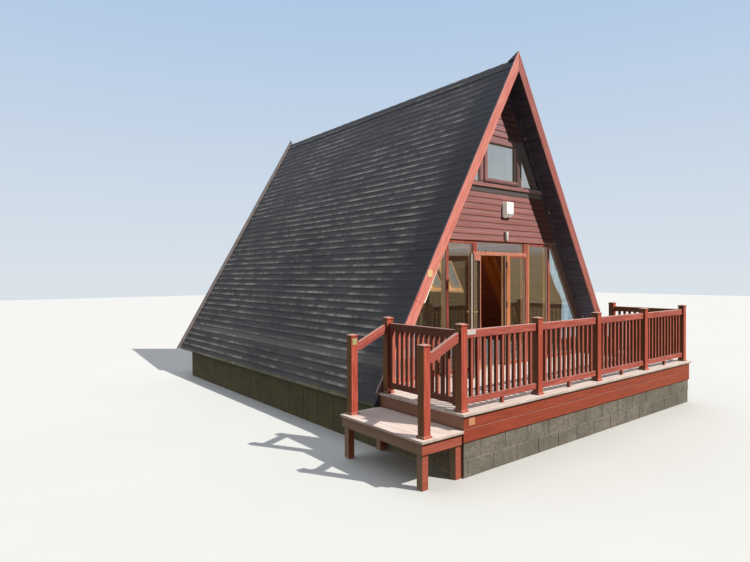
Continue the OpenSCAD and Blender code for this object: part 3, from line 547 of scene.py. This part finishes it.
# Painted light: the pine glows in its own colour, for the daylight on the roof window frames.
timber("pine", (226, 160, 96), (250, 206, 150), (8, 40, 8), 0.35, glow=0.5)
timber("floor", (96, 70, 46), (140, 106, 74), (2, 30, 2), 0.4)
timber("deck", (186, 170, 159), (217, 206, 198), (2.2, 60, 2.2), 0.75, board=("Y", 0.145))
timber("tread", (186, 167, 156), (218, 202, 192), (60, 2.2, 2.2), 0.75, board=("X", 0.134))
# The turned and side colours from here on are partly painted shade on faces turned from the front.
timber("fascia", (130, 50, 34), (168, 72, 50), (2.0, 2.0, 60), turned=(146, 104, 80), top=grey_top)
timber("step_side", (150, 72, 58), (182, 98, 78), (2.0, 2.0, 60), turned=(142, 114, 98), top=grey_top)
rail_timber("posts", (156, 66, 52), (208, 102, 82), (124, 84, 56), rails=False)
rail_timber("rails", *rail_stain_and_shade)
rail_timber("handrails", *rail_stain_and_shade, slope=handrail_way)
rail_timber("gate", (160, 80, 62), (200, 112, 90), (104, 58, 46))
masonry("blocks", (98, 92, 82), (146, 138, 124), (92, 87, 77))
masonry("mortar", (150, 142, 128), (174, 166, 150), (134, 128, 112))
masonry("plinth", (66, 62, 50), (90, 84, 66), (92, 94, 56))
plain("brass", (232, 200, 130), 0.2, 1.0, 0.04)
# Painted light: the white plastic glows a little, so its shaded sides stay pale.
plain("white", (240, 240, 232), 0.3, glow=0.3)
lamp_cover("lamp")
plain("cable", (112, 104, 112), 0.5)
# Dark grey of the strip under the sill.
plain("dark_strip_grey", (80, 70, 68), 0.6)
plain("hinge", (60, 44, 38), 0.4, 0.6)
plain("bracket", (156, 110, 96), 0.5)
# Painted light: the seal glows a little in its own colour.
plain("seal", (232, 222, 206), 0.5, glow=0.35)
plain("cream", (252, 244, 224), 0.5)
plain("yellow_plate", (236, 208, 146), 0.4)
plain("white_plate", (216, 208, 200), 0.4)
plain("orange_plate", (216, 150, 112), 0.5)
plain("green_plate", (176, 174, 124), 0.45)
# Painted reflection: the olive colours of the lower and roof glass stand for surroundings reflected in them
# and seen through them.
pane("low_glass", (76, 72, 54), 0.26, 3.1)
pane("roof_glass", (120, 122, 84), 0.5, 1.8)
pane("high_glass", (166, 174, 174), 0.85, 2.4, 0.9)
cloth("curtain", (196, 216, 226), (146, 174, 190))


def soften(thing, edge, angle):
    """Rounds the edges of a piece that are sharper than an angle in degrees."""
    bevel = thing.modifiers.new("soften", "BEVEL")
    bevel.width = edge
    bevel.segments = 2
    bevel.limit_method = "ANGLE"
    bevel.angle_limit = math.radians(angle)


def dress(names, key, edge=0.0):
    """Gives CAD nodes a finish and, where edge is set, softened edges of that width in metres."""
    for name in names.split():
        node = nodes[name]
        node.data.materials.clear()
        node.data.materials.append(finish[key])
        if edge:
            node.modifiers.new("weld", "WELD").merge_threshold = 0.00005
            soften(node, edge, 40)


dress("house_front_plinth house_rear_plinth house_side_plinths", "plinth", 0.004)
dress("left_roof_slope right_roof_slope", "soffit")
dress("ridge_cap", "roof", 0.003)
dress("left_lining right_lining", "lining")
dress("upper_floor", "ceiling")
dress("ground_floor", "floor")
dress("front_left_bargeboard", "barge", 0.003)
dress("front_right_bargeboard", "right_barge", 0.003)
dress("rear_left_bargeboard rear_right_bargeboard", "rear_barge", 0.003)
dress("roof_window_frames", "pine", 0.003)
dress("front_left_frame front_right_frame door_head upper_window_frame upper_sash", "frame", 0.003)
dress("rear_window_frames", "rear_frame", 0.003)
dress("window_sill", "sill", 0.003)
dress("door_leaf", "door", 0.003)
dress("door_handles", "brass", 0.001)
dress("door_hinges gate_hinges", "hinge")
dress("front_cladding front_gable_top rear_wall", "soffit")
dress("front_glass door_glass rear_window_glass", "low_glass")
dress("roof_window_glass", "roof_glass")
dress("upper_window_glass", "high_glass")
dress("alarm_box", "white", 0.03)
dress("wall_lamp", "lamp", 0.004)
dress("deck_front_fascia deck_side_fascias", "fascia", 0.003)
dress("step_side_boards step_end_board step_legs", "step_side", 0.003)
dress("deck_front_plinth deck_side_plinths", "mortar")
dress("deck_posts newel_posts", "posts", 0.004)
dress("front_panel_1 front_panel_2 front_panel_3 front_panel_4 right_panel", "rails", 0.003)
dress("handrails", "handrails", 0.003)
dress("gate", "gate", 0.003)
dress("rail_brackets", "bracket", 0.001)
for name in ("right_roof_slope", "right_lining", "front_right_bargeboard"):
    nodes[name].visible_glossy = False


# Mesh helpers


def place(name, data):
    """A new object in the scene."""
    thing = bpy.data.objects.new(name, data)
    bpy.context.scene.collection.objects.link(thing)
    return thing


def piece(name, key, slot, points, faces, body="hut", smooth=False, edge=0.0):
    """A new piece from points and faces, with a finish and the body it rides on. The slot is not used."""
    mesh = bpy.data.meshes.new(name)
    mesh.from_pydata([tuple(p) for p in points], [], faces)
    mesh.validate()
    mesh.update()
    mesh.materials.append(finish[key])
    thing = place(name, mesh)
    if smooth:
        mesh.shade_smooth()
    if edge:
        soften(thing, edge, 30)
    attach(thing, body)
    return thing


def quads(rows, columns, closed=False, start=0, flip=False):
    """Faces between rows of points, each row an open line or a closed ring of as many columns."""
    faces = []
    for j in range(rows - 1):
        for i in range(columns if closed else columns - 1):
            a = start + j * columns + i
            b = start + j * columns + (i + 1) % columns
            quad = [a, b, b + columns, a + columns]
            faces.append(quad[::-1] if flip else quad)
    return faces


def steps(start, end, width, least):
    """Neighbouring stretches of a width from start to end. A last one shorter than least is left out."""
    while start < end - least:
        yield start, min(start + width, end)
        start += width


class Solid:
    """Collects boxes and prisms into one mesh."""

    def __init__(self):
        self.points = []
        self.faces = []

    def prism(self, ends):
        """A closed prism between two rings of as many points each."""
        start = len(self.points)
        count = len(ends[0])
        for ring in ends:
            self.points.extend(ring)
        self.faces.append(list(range(start, start + count))[::-1])
        self.faces.append(list(range(start + count, start + 2 * count)))
        self.faces += quads(2, count, closed=True, start=start)

    def along_y(self, ring, y0, y1):
        """A prism between two places along Y, from a ring of (x, z)."""
        self.prism([[(x, y, z) for x, z in ring] for y in (y0, y1)])

    def box(self, low, high):
        ring = [(low[0], low[1]), (high[0], low[1]), (high[0], high[1]), (low[0], high[1])]
        self.prism([[(x, y, z) for x, y in ring] for z in (low[2], high[2])])

    def tube(self, spots, radius, sides=10):
        """A round bar through points, each ring square to its neighbours' line."""
        start = len(self.points)
        for i, spot in enumerate(spots):
            ahead = (spots[min(i + 1, len(spots) - 1)] - spots[max(i - 1, 0)]).normalized()
            across = ahead.cross(Vector((0, 1, 0))).normalized()
            other = ahead.cross(across)
            for k in range(sides):
                turn = 2 * math.pi * k / sides
                self.points.append(spot + (across * math.cos(turn) + other * math.sin(turn)) * radius)
        end = len(self.points)
        self.faces += quads(len(spots), sides, closed=True, start=start)
        self.faces.append(list(range(start, start + sides))[::-1])
        self.faces.append(list(range(end - sides, end)))

    def make(self, name, key, slot, **more):
        return piece(name, key, slot, self.points, self.faces, **more)


def split_spans(spans, x0, x1):
    """Cuts the stretch x0..x1 out of spans, whose open ends are None."""
    out = []
    for left, right in spans:
        if (right is not None and right <= x0) or (left is not None and left >= x1):
            out.append((left, right))
            continue
        if left is None or left < x0:
            out.append((left, x0))
        if right is None or right > x1:
            out.append((x1, right))
    return out


# Roof


def roof_laps(name, side, gaps=()):
    """Felt courses that lap down a slope, each with a sharp lower edge, where its rows of points are split.

    gaps are (run0, run1, y0, y1) left open for roof windows.
    """
    points = []
    faces = []
    columns = 90
    for i in range(round(slope_length / lap_pitch)):
        run0 = i * lap_pitch
        run1 = run0 + lap_pitch
        stretches = [(roof_y0, roof_y1)]
        for gap in gaps:
            if run1 > gap[0] and run0 < gap[1]:
                stretches = split_spans(stretches, gap[2], gap[3])
        for y0, y1 in stretches:
            count = max(2, round(columns * (y1 - y0) / (roof_y1 - roof_y0)))
            start = len(points)
            for k in range(count + 1):
                y = y0 + (y1 - y0) * k / count
                wobble = noise.noise((y * 2.1, i * 0.71, side * 4.0))
                calm = min(1.0, max(0.0, (y - roof_y0) / 0.7))
                lift = lap_lift * (1.0 + 0.75 * wobble * calm)
                sag = 0.007 * noise.noise((y * 0.8, i * 1.9, side * 9.0))
                low = min(run1 + sag, slope_length)
                for run, height in ((run0, 0.0008), (low - lap_lip, lift * 0.93), (low, lift), (low, lift),
                                    (low, 0.0002)):
                    points.append(roof_point(side, run, y, height))
            skin = quads(count + 1, 5, start=start, flip=side > 0)
            faces += [quad for i, quad in enumerate(skin) if i % 4 != 2]
    return piece(name, "roof", "roof_covering", points, faces, smooth=True)


window_low, window_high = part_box("roof_window_frames")
window_gap = (run_at(window_high.z) - 0.06, run_at(window_low.z) + 0.02,
              window_low.y - 0.02, window_high.y + 0.02)
roof_laps("roof_laps_left", -1)
roof_laps("roof_laps_right", 1, [window_gap]).visible_glossy = False


def ridge_tiles():
    """Short lengths of folded capping that lap along the ridge, turned up at the front end."""
    solid = Solid()
    reach = 0.155
    count = 26
    cap_lift = (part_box("ridge_cap")[1].z - ridge_z) * cosine
    under = cap_lift - 0.004
    for i in range(count):
        y0 = roof_y0 + (roof_y1 - roof_y0) * i / count
        y1 = roof_y0 + (roof_y1 - roof_y0) * (i + 1) / count
        rise = 0.004 + 0.003 * dice.random()
        ends = []
        for y, lift in ((y0, cap_lift + rise), (y1, cap_lift + 0.001)):
            ends.append([
                roof_point(-1, reach, y, lift), Vector((0, y, ridge_z + lift / cosine)),
                roof_point(1, reach, y, lift), roof_point(1, reach, y, under),
                Vector((0, y, ridge_z + under / cosine)), roof_point(-1, reach, y, under),
            ])
        solid.prism(ends)
    upstand = barge_high.z - ridge_z - 0.012
    ends = []
    for y, half, top in ((roof_y0, 0.07, upstand), (roof_y0 + 0.17, 0.05, 0.04)):
        ring = [(-half, 0.01), (half, 0.01), (0.01, top), (-0.01, top)]
        ends.append([(x, y, ridge_z + z) for x, z in ring])
    solid.prism(ends)
    solid.make("ridge_tiles", "roof", "roof_covering").visible_glossy = False


ridge_tiles()


# Walls of boards


def board(solid, left, right, z0, z1, face_y, way):
    """One board with its upper edge bevelled back; an end that is None follows the soffit."""
    thickness = 0.012
    profile = [(0.0, z0), (thickness, z0), (thickness, z1 - 0.012), (thickness * 0.35, z1), (0.0, z1)]
    ends = []
    for x, side in ((left, -1), (right, 1)):
        ring = []
        for depth, z in profile:
            at = x if x is not None else side * max(0.002, slope_x(z, roof_t) - 0.001)
            ring.append((at, face_y + way * depth, z))
        ends.append(ring)
    solid.prism(ends if way > 0 else ends[::-1])


def clad(name, key, z0, z1, face_y, way, holes=()):
    """Level boards across a gable between two heights, cut off at the soffits and round the holes.

    way is -1 where the boards face the front and 1 where they face the back.
    holes are (x0, x1, z0, z1).
    """
    solid = Solid()
    gap = 0.007
    least = 0.004
    for low, high in steps(z0, z1, board_pitch, least):
        cuts = sorted({low, high} | {h for hole in holes for h in hole[2:] if low < h < high})
        for za, zb in zip(cuts, cuts[1:]):
            if zb - za < least:
                continue
            spans = [(None, None)]
            for hole in holes:
                if hole[2] < zb - 0.001 and hole[3] > za + 0.001:
                    spans = split_spans(spans, hole[0], hole[1])
            for left, right in spans:
                board(solid, left, right, za + (gap if za == low else 0), zb, face_y, way)
    solid.make(name, key, "cladding")


def rear_holes():
    """Window openings of the rear wall: two on the ground floor and one above them."""
    split_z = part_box("rear_window_frames")[0].z + 1.3
    windows = ([], [], [])
    for vertex in nodes["rear_window_frames"].data.vertices:
        spot = vertex.co
        windows[2 if spot.z > split_z else int(spot.x > 0)].append(spot)
    return [(min(p.x for p in window), max(p.x for p in window),
             min(p.z for p in window), max(p.z for p in window)) for window in windows]


clad("cladding_boards", "cladding", wall_low.z, wall_high.z, wall_y, -1)
clad("gable_boards", "gable", gable_low.z, gable_high.z - 0.01, wall_y, -1)
clad("rear_boards", "rear_cladding", rear_low.z, gable_high.z - 0.01, rear_high.y, 1, rear_holes())


def wall_strip(name, key, slot, z0, z1, proud):
    """A level strip across the gable between two heights, cut off at the soffits."""
    solid = Solid()
    ring = [(side * (slope_x(z, roof_t) - 0.001), z) for side, z in ((-1, z0), (1, z0), (1, z1), (-1, z1))]
    solid.along_y(ring, wall_y, wall_y - proud)
    solid.make(name, key, slot, edge=0.002)


sill_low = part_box("window_sill")[0]
# A dark grey strip on the cladding under the sill.
wall_strip("sill_dark_strip", "dark_strip_grey", "hinge_metal", sill_low.z - 0.095, sill_low.z, 0.019)
wall_strip("cladding_bead", "sill", "cladding", wall_low.z, wall_low.z + 0.022, 0.022)


def soffit_trims():
    """A batten in each corner between the soffit and the front wall."""
    solid = Solid()
    depth = 0.135
    foot = deck_z + 0.02
    peak = ridge_z - 0.12 / cosine
    ys = (wall_y - 0.03, wall_y)
    for side in (-1, 1):
        corners = ((foot, roof_t), (foot, depth), (peak, depth), (peak, roof_t))
        ring = [(side * max(slope_x(z, d), 0.004), z) for z, d in corners]
        solid.along_y(ring, *(ys if side < 0 else ys[::-1]))
    solid.make("soffit_trims", "soffit", "cladding", edge=0.002).visible_glossy = False


def soffit_cable():
    """A thin wire clipped along the right soffit, just in front of the wall."""
    y = wall_y - 0.07
    radius = 0.0045
    wire = Solid()
    heights = [deck_z + 0.25 + 0.2 * k for k in range(22)]
    wire.tube([Vector((slope_x(z, roof_t + radius), y, z)) for z in heights], radius)
    wire.make("soffit_wire", "cable", "bracket_metal", smooth=True)
    clips = Solid()
    corners = ((-1, -1), (1, -1), (1, 1), (-1, 1))
    for z in (deck_z + 0.75, deck_z + 2.797, deck_z + 4.1):
        x = slope_x(z, roof_t)
        clips.prism([[(at, y + half * across, z + half * up) for across, up in corners]
                     for at, half in ((x + 0.004, 0.015), (x - 0.016, 0.012))])
    clips.make("soffit_clips", "white_plate", "bracket_metal", edge=0.002)


def rafter_strip():
    """Varnished board up the right lining, seen through the doorway."""
    solid = Solid()
    near = roof_t + 0.0252
    foot = deck_z + 0.02
    top = deck_z + 2.18
    for y0, y1, thick in ((1.5, 1.86, 0.02), (1.64, 1.74, 0.06)):
        corners = ((foot, near), (top, near), (top, near + thick), (foot, near + thick))
        solid.along_y([(slope_x(z, depth), z) for z, depth in corners], y0, y1)
    solid.make("rafter_strip", "rafter", "lining", edge=0.003)


soffit_trims()
soffit_cable()
rafter_strip()


# Deck and step boards


def deck_boards():
    """Boards along the front with open joints, butted near the middle."""
    solid = Solid()
    width = 0.145
    gap = 0.005
    notch_x = min(abs(v.co.x) for v in nodes["deck_floor"].data.vertices
                  if v.co.y > roof_y0 + 0.1 and abs(v.co.x) > 1.0)
    y = deck_low.y
    row = 0
    while y < deck_high.y - 0.03:
        end = min(y + width, deck_high.y)
        half = deck_high.x if end < roof_y0 - 0.001 else notch_x
        if y < roof_y0 - 0.01 < end:
            end = roof_y0 - 0.003
            half = deck_high.x
        joint = (0.9 if row % 2 else -0.7) + 0.12 * dice.random()
        solid.box((-half, y, deck_low.z), (joint - 0.002, end - gap, deck_z))
        solid.box((joint + 0.002, y, deck_low.z), (half, end - gap, deck_z))
        y = end
        row += 1
    boards = solid.make("deck_planks", "deck", "deck_boards", edge=0.002)
    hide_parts("deck_floor")


def tread_boards():
    """Boards along the step, with a closing board at its front end."""
    solid = Solid()
    low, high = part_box("step_tread")
    count = 5
    width = (high.x - low.x) / count
    gap = 0.004
    nose = 0.12
    for i in range(count):
        x0 = low.x + i * width
        solid.box((x0, low.y + nose, low.z), (x0 + width - gap, high.y, high.z))
    solid.box((low.x, low.y, low.z), (high.x - gap, low.y + nose - gap, high.z))
    boards = solid.make("tread_planks", "tread", "deck_boards", edge=0.002)
    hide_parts("step_tread")


deck_boards()
tread_boards()


# Plinths under the deck and the house


def block_wall(solid, start, along, out, length, z0, z1, first):
    """Blocks with recessed joints over a flat wall; first is the length of the cut first block."""
    block_l = 0.463
    block_h = 0.215
    joint = 0.009
    proud = 0.004
    least = 0.02
    z = z1
    course = 0
    while z > z0 + least:
        low = max(z - block_h, z0)
        at = first - block_l * (1.5 if course % 2 else 1.0)
        while at < length:
            a = max(at, 0.0)
            b = min(at + block_l - joint, length)
            if b - a > least:
                rise = proud + 0.002 * dice.random()
                ring = [start + along * l + out * r for l, r in ((a, 0), (b, 0), (b, rise), (a, rise))]
                solid.prism([[(p.x, p.y, height) for p in ring] for height in (low + joint, z)])
            at += block_l
        z = low
        course += 1


def deck_blocks():
    """Block walls at the front and at both sides of the deck."""
    solid = Solid()
    low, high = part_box("deck_front_plinth")
    back_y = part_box("deck_side_plinths")[1].y
    right = Vector((1, 0, 0))
    back = Vector((0, 1, 0))
    for x, y, along, out, length, first in (
        (low.x, low.y, right, -back, high.x - low.x, 0.3),
        (high.x, low.y, back, right, back_y - low.y, 0.25),
        (low.x, back_y, -back, -right, back_y - low.y, 0.35),
    ):
        block_wall(solid, Vector((x, y, 0)), along, out, length, low.z, fascia_low.z, first)
    solid.make("deck_blocks", "blocks", "masonry", edge=0.003)


def plinth_boards():
    """Upright boards over the plinth walls of the house."""
    solid = Solid()
    low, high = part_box("house_side_plinths")
    width = 0.15
    gap = 0.006
    least = 0.02
    proud = 0.014
    for y, end in steps(low.y, high.y, width, least):
        for side in (-1, 1):
            rise = proud * (0.7 + 0.3 * dice.random())
            x0, x1 = sorted((side * high.x, side * (high.x + rise)))
            solid.box((x0, y, low.z), (x1, end - gap, high.z))
    for x, end in steps(low.x, high.x, width, least):
        rise = proud * (0.7 + 0.3 * dice.random())
        solid.box((x, high.y, low.z), (end - gap, high.y + rise, high.z))
    solid.make("plinth_boards", "plinth", "house_plinth")


deck_blocks()
plinth_boards()


# Curtains


curtain_low, curtain_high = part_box("curtains")
curtain_y = wall_y + 0.082
tie_z = deck_z + 1.09
bend_z = deck_z + 1.5


def curtain_edges(z):
    """The right and the left edge of the right curtain at a height, between the post and the slope."""
    top_width = 0.2
    tie_width = 0.14
    foot_width = 0.62
    post_x = 1.456
    right = slope_x(z, roof_t + 0.153)
    width = top_width
    if z <= tie_z:
        share = (tie_z - z) / (tie_z - curtain_low.z)
        width = tie_width + (foot_width - tie_width) * share ** 1.05
    elif z <= bend_z:
        share = (z - tie_z) / (bend_z - tie_z)
        width = tie_width + (top_width - tie_width) * share * share * (3 - 2 * share)
    return right, max(right - width, post_x)


def curtain(name, side, tie):
    """A gathered curtain tied back beside the sloping light."""
    columns = 96
    rows = 70
    folds = 7
    points = []
    for j in range(rows + 1):
        t = j / rows
        z = curtain_high.z + (curtain_low.z - curtain_high.z) * t
        right, left = curtain_edges(z)
        tight = math.exp(-((z - tie_z) / 0.09) ** 2)
        depth = 0.019 * (1 - 0.55 * tight)
        for i in range(columns + 1):
            u = i / columns
            swing = math.sin(2 * math.pi * folds * u + 0.6 * math.sin(3 * t + side))
            extra = 0.25 * math.sin(2 * math.pi * 2.3 * u + 2.0 * t)
            y = curtain_y + depth * max(-1.0, min(1.0, swing + extra))
            points.append((side * (left + (right - left) * u), y, z))
    thing = piece(name, "curtain", "curtain_cloth", points, quads(rows + 1, columns + 1), smooth=True)
    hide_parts("curtains")


def curtain_tie(name, side):
    """The band of the same cloth that holds a curtain back."""
    half_h = 0.03
    count = 40
    points = []
    for rise in (-1, -0.6, 0, 0.6, 1):
        z = tie_z + rise * half_h
        right, left = curtain_edges(z)
        swell = 0.0225 - 0.004 * abs(rise)
        for k in range(count):
            turn = 2 * math.pi * k / count
            x = (right + left) / 2 + ((right - left) / 2 + 0.003) * math.cos(turn)
            flat_side = math.copysign(abs(math.sin(turn)) ** 0.5, math.sin(turn))
            points.append((side * x, curtain_y + swell * flat_side, z))
    faces = quads(5, count, closed=True, flip=side < 0)
    return piece(name, "curtain", "curtain_cloth", points, faces, smooth=True)


for side, label in ((-1, "left"), (1, "right")):
    curtain("curtain_" + label, side, curtain_tie("curtain_tie_" + label, side))


# Door fittings


def door_seal():
    """Pale seal up the free end of the open leaf."""
    solid = Solid()
    low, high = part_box("door_leaf")
    rings = []
    for z in (low.z + 0.01, high.z - 0.005):
        corners = ((-0.001, 0.048), (0.004, 0.048), (0.004, 0.07), (-0.001, 0.07))
        spots = [door_axis + leaf_along * (leaf_reach + reach) + leaf_across * (leaf_face + depth)
                 for reach, depth in corners]
        rings.append([(spot.x, spot.y, z) for spot in spots])
    solid.prism(rings)
    solid.make("door_seal", "seal", "white_plastic", body="door", edge=0.0008)


def door_keeps():
    """Lock keeps on the lock post and a metal threshold, with wear, between the posts."""
    post_x = door_head_high.x - 0.545
    keeps = Solid()
    for z in (deck_z + 1.789, deck_z + 1.078):
        keeps.box((post_x - 0.002, wall_y - 0.002, z - 0.055), (post_x + 0.012, wall_y + 0.02, z + 0.055))
    keeps.make("door_keeps", "hinge", "hinge_metal", edge=0.0008)
    bar = Solid()
    bar.box((door_head_low.x + 0.058, wall_y - 0.02, deck_z), (post_x - 0.002, wall_y + 0.09, deck_z + 0.007))
    bar.make("door_threshold", "brass", "brass", edge=0.002)


door_seal()
door_keeps()


# Small pieces on the front


def plate(name, key, x0, x1, z0, z1, face_y, upright=False):
    """A thin bare plate on a face, with two screws: one above the other where upright, else level."""
    thickness = 0.004
    radius = 0.004
    solid = Solid()
    solid.box((x0, face_y - thickness, z0), (x1, face_y, z1))
    solid.make(name, key, "white_plastic", edge=0.0015)
    dots = Solid()
    for share in (0.12, 0.88):
        x = x0 + (x1 - x0) * (0.5 if upright else share)
        z = z0 + (z1 - z0) * (share if upright else 0.5)
        turns = [k * math.pi / 5 for k in range(10)]
        ring = [(x + radius * math.cos(turn), z + radius * math.sin(turn)) for turn in turns]
        dots.along_y(ring, face_y - thickness + 0.001, face_y - thickness - 0.0015)
    dots.make(name + "_screws", "hinge", "hinge_metal")


newel_low, newel_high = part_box("newel_posts")
plate("barge_plate", "yellow_plate", -2.178, -2.08, deck_z + 1.583, deck_z + 1.687, barge_low.y, upright=True)
plate("rail_plate", "white_plate", -2.93, -2.78, deck_z + 0.9, deck_z + 0.955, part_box("front_panel_1")[0].y)
plate("newel_plate", "green_plate", newel_low.x + 0.03, newel_high.x - 0.03,
      newel_high.z - 0.14, newel_high.z - 0.06, newel_high.y - 0.114)
plate("fascia_plate", "orange_plate", -2.985, -2.875, deck_z - 0.15, deck_z - 0.065, fascia_low.y)


def barge_filler():
    """Cream strip that shows under the left bargeboard's lower edge, wider towards its foot."""
    solid = Solid()
    edge_depth = 0.097
    foot = deck_z + 1.2
    top = deck_z + 1.86
    corners = ((foot, 0.05), (top, 0.024), (top, -0.02), (foot, -0.02))
    ring = [(-slope_x(z, edge_depth + show), z) for z, show in corners]
    solid.along_y(ring, barge_high.y, barge_high.y + 0.012)
    solid.make("barge_filler", "cream", "barge_paint", edge=0.001)


def box_latch():
    """Small latch under the white box."""
    solid = Solid()
    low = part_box("alarm_box")[0]
    solid.box((low.x + 0.03, low.y + 0.055, low.z - 0.012), (low.x + 0.062, low.y + 0.085, low.z + 0.012))
    solid.make("box_latch", "white", "white_plastic", edge=0.002)


barge_filler()
box_latch()


# Camera, light and floor


def camera():
    """The view of the photograph, with its focal length in pixels of an image 750 wide."""
    spot = Vector((-7.768, -6.274, 2.369))
    yaw = 0.66995
    tilt = -0.0101
    roll = -0.0039
    focal = 544.08
    width = 750
    ahead = Vector((math.sin(yaw) * math.cos(tilt), math.cos(yaw) * math.cos(tilt), math.sin(tilt)))
    right = Vector((math.cos(yaw), -math.sin(yaw), 0))
    up = right.cross(ahead)
    right, up = (right * math.cos(roll) + up * math.sin(roll), up * math.cos(roll) - right * math.sin(roll))
    data = bpy.data.cameras.new("camera")
    data.sensor_fit = "HORIZONTAL"
    data.sensor_width = 36.0
    data.lens = focal / width * data.sensor_width
    data.clip_end = 200
    thing = place("camera", data)
    thing.matrix_world = Matrix.Translation(spot) @ Matrix((right, up, -ahead)).transposed().to_4x4()
    bpy.context.scene.camera = thing


def light(name, kind, energy, colour):
    data = bpy.data.lights.new(name, kind)
    data.energy = energy
    data.color = colour
    return place(name, data)


def lights():
    """The sun, and weak warm light in the room, where daylight comes in through the roof windows."""
    sun = light("key", "SUN", 5.3, (1.0, 0.97, 0.92))
    sun.data.angle = math.radians(0.6)
    sun.rotation_euler = Vector((0.343, -0.606, 0.717)).to_track_quat("Z", "Y").to_euler()
    room = light("room", "POINT", 14, (1.0, 0.8, 0.6))
    room.data.shadow_soft_size = 0.4
    room.location = (0.2, 2.6, deck_z + 1.7)


def gradient(world, height, stops):
    """Colours over the height of a direction, from (height, colour) stops within -1 to 1."""
    share = world.add("ShaderNodeMapRange", {"Value": height, "From Min": -1.0}).outputs["Result"]
    ramp = world.add("ShaderNodeValToRGB", {"Fac": share})
    marks = ramp.color_ramp.elements
    while len(marks) < len(stops):
        marks.new(0.5)
    for mark, (level, colour) in zip(marks, stops):
        mark.position = (level + 1) / 2
        mark.color = colour + (1.0,)
    return ramp.outputs["Color"]


def surroundings():
    """Soft studio light: a dim dome that fills the shadows and a pale one that is seen and mirrored."""
    studio = bpy.data.worlds.new("studio")
    studio.use_nodes = True
    world = Nodes(studio.node_tree)
    way = world.split(world.add("ShaderNodeTexCoord").outputs["Generated"])
    fill = gradient(world, way["Z"], [
        (-1.0, (0.20, 0.18, 0.13)), (-0.02, (0.20, 0.18, 0.13)), (0.02, (0.13, 0.14, 0.15)),
        (0.5, (0.36, 0.39, 0.44)), (1.0, (1.02, 1.06, 1.16)),
    ])
    to_back = world.math("POWER", world.plus(world.times(way["Y"], 0.9), 1.0), 4.0)
    share = world.math("MINIMUM", to_back, 1.9)
    fill = world.add("ShaderNodeVectorMath", {0: fill, "Scale": share}, operation="SCALE").outputs[0]
    mirrored = gradient(world, way["Z"], [
        (-1.0, (0.50, 0.42, 0.24)), (-0.02, (0.66, 0.54, 0.29)), (0.036, (0.74, 0.62, 0.38)),
        (0.046, (1.0, 1.0, 1.0)), (0.16, (0.92, 0.96, 1.0)), (0.35, (0.55, 0.64, 0.74)),
        (1.0, (0.34, 0.50, 0.72)),
    ])
    seen = gradient(world, way["Z"], [
        (-1.0, (0.70, 0.76, 0.82)), (0.0, (0.70, 0.76, 0.82)), (0.5, (0.40, 0.56, 0.78)),
        (1.0, (0.34, 0.50, 0.74)),
    ])
    path = world.add("ShaderNodeLightPath").outputs
    light_colour = world.mix(path["Is Glossy Ray"], fill, mirrored)
    colour = world.mix(path["Is Camera Ray"], light_colour, seen)
    world.put(world.tree.nodes["Background"].inputs["Color"], colour)
    bpy.context.scene.world = studio
    bpy.context.scene.view_settings.view_transform = "Standard"


def studio_floor():
    """A wide pale floor that catches the shadow and adds no light of its own."""
    half = 60
    mesh = bpy.data.meshes.new("floor")
    corners = ((-1, -1), (1, -1), (1, 1), (-1, 1))
    mesh.from_pydata([(half * x, half * y, 0) for x, y in corners], [], [[0, 1, 2, 3]])
    s = Surface("studio_floor", 0.9)
    s.done(s.mix(s.noise((0.4, 0.4, 0.4)), (184, 184, 180), (190, 190, 186)))
    mesh.materials.append(finish["studio_floor"])
    floor = place("floor", mesh)
    floor.visible_diffuse = False
    floor.visible_glossy = False


camera()
lights()
surroundings()
studio_floor()
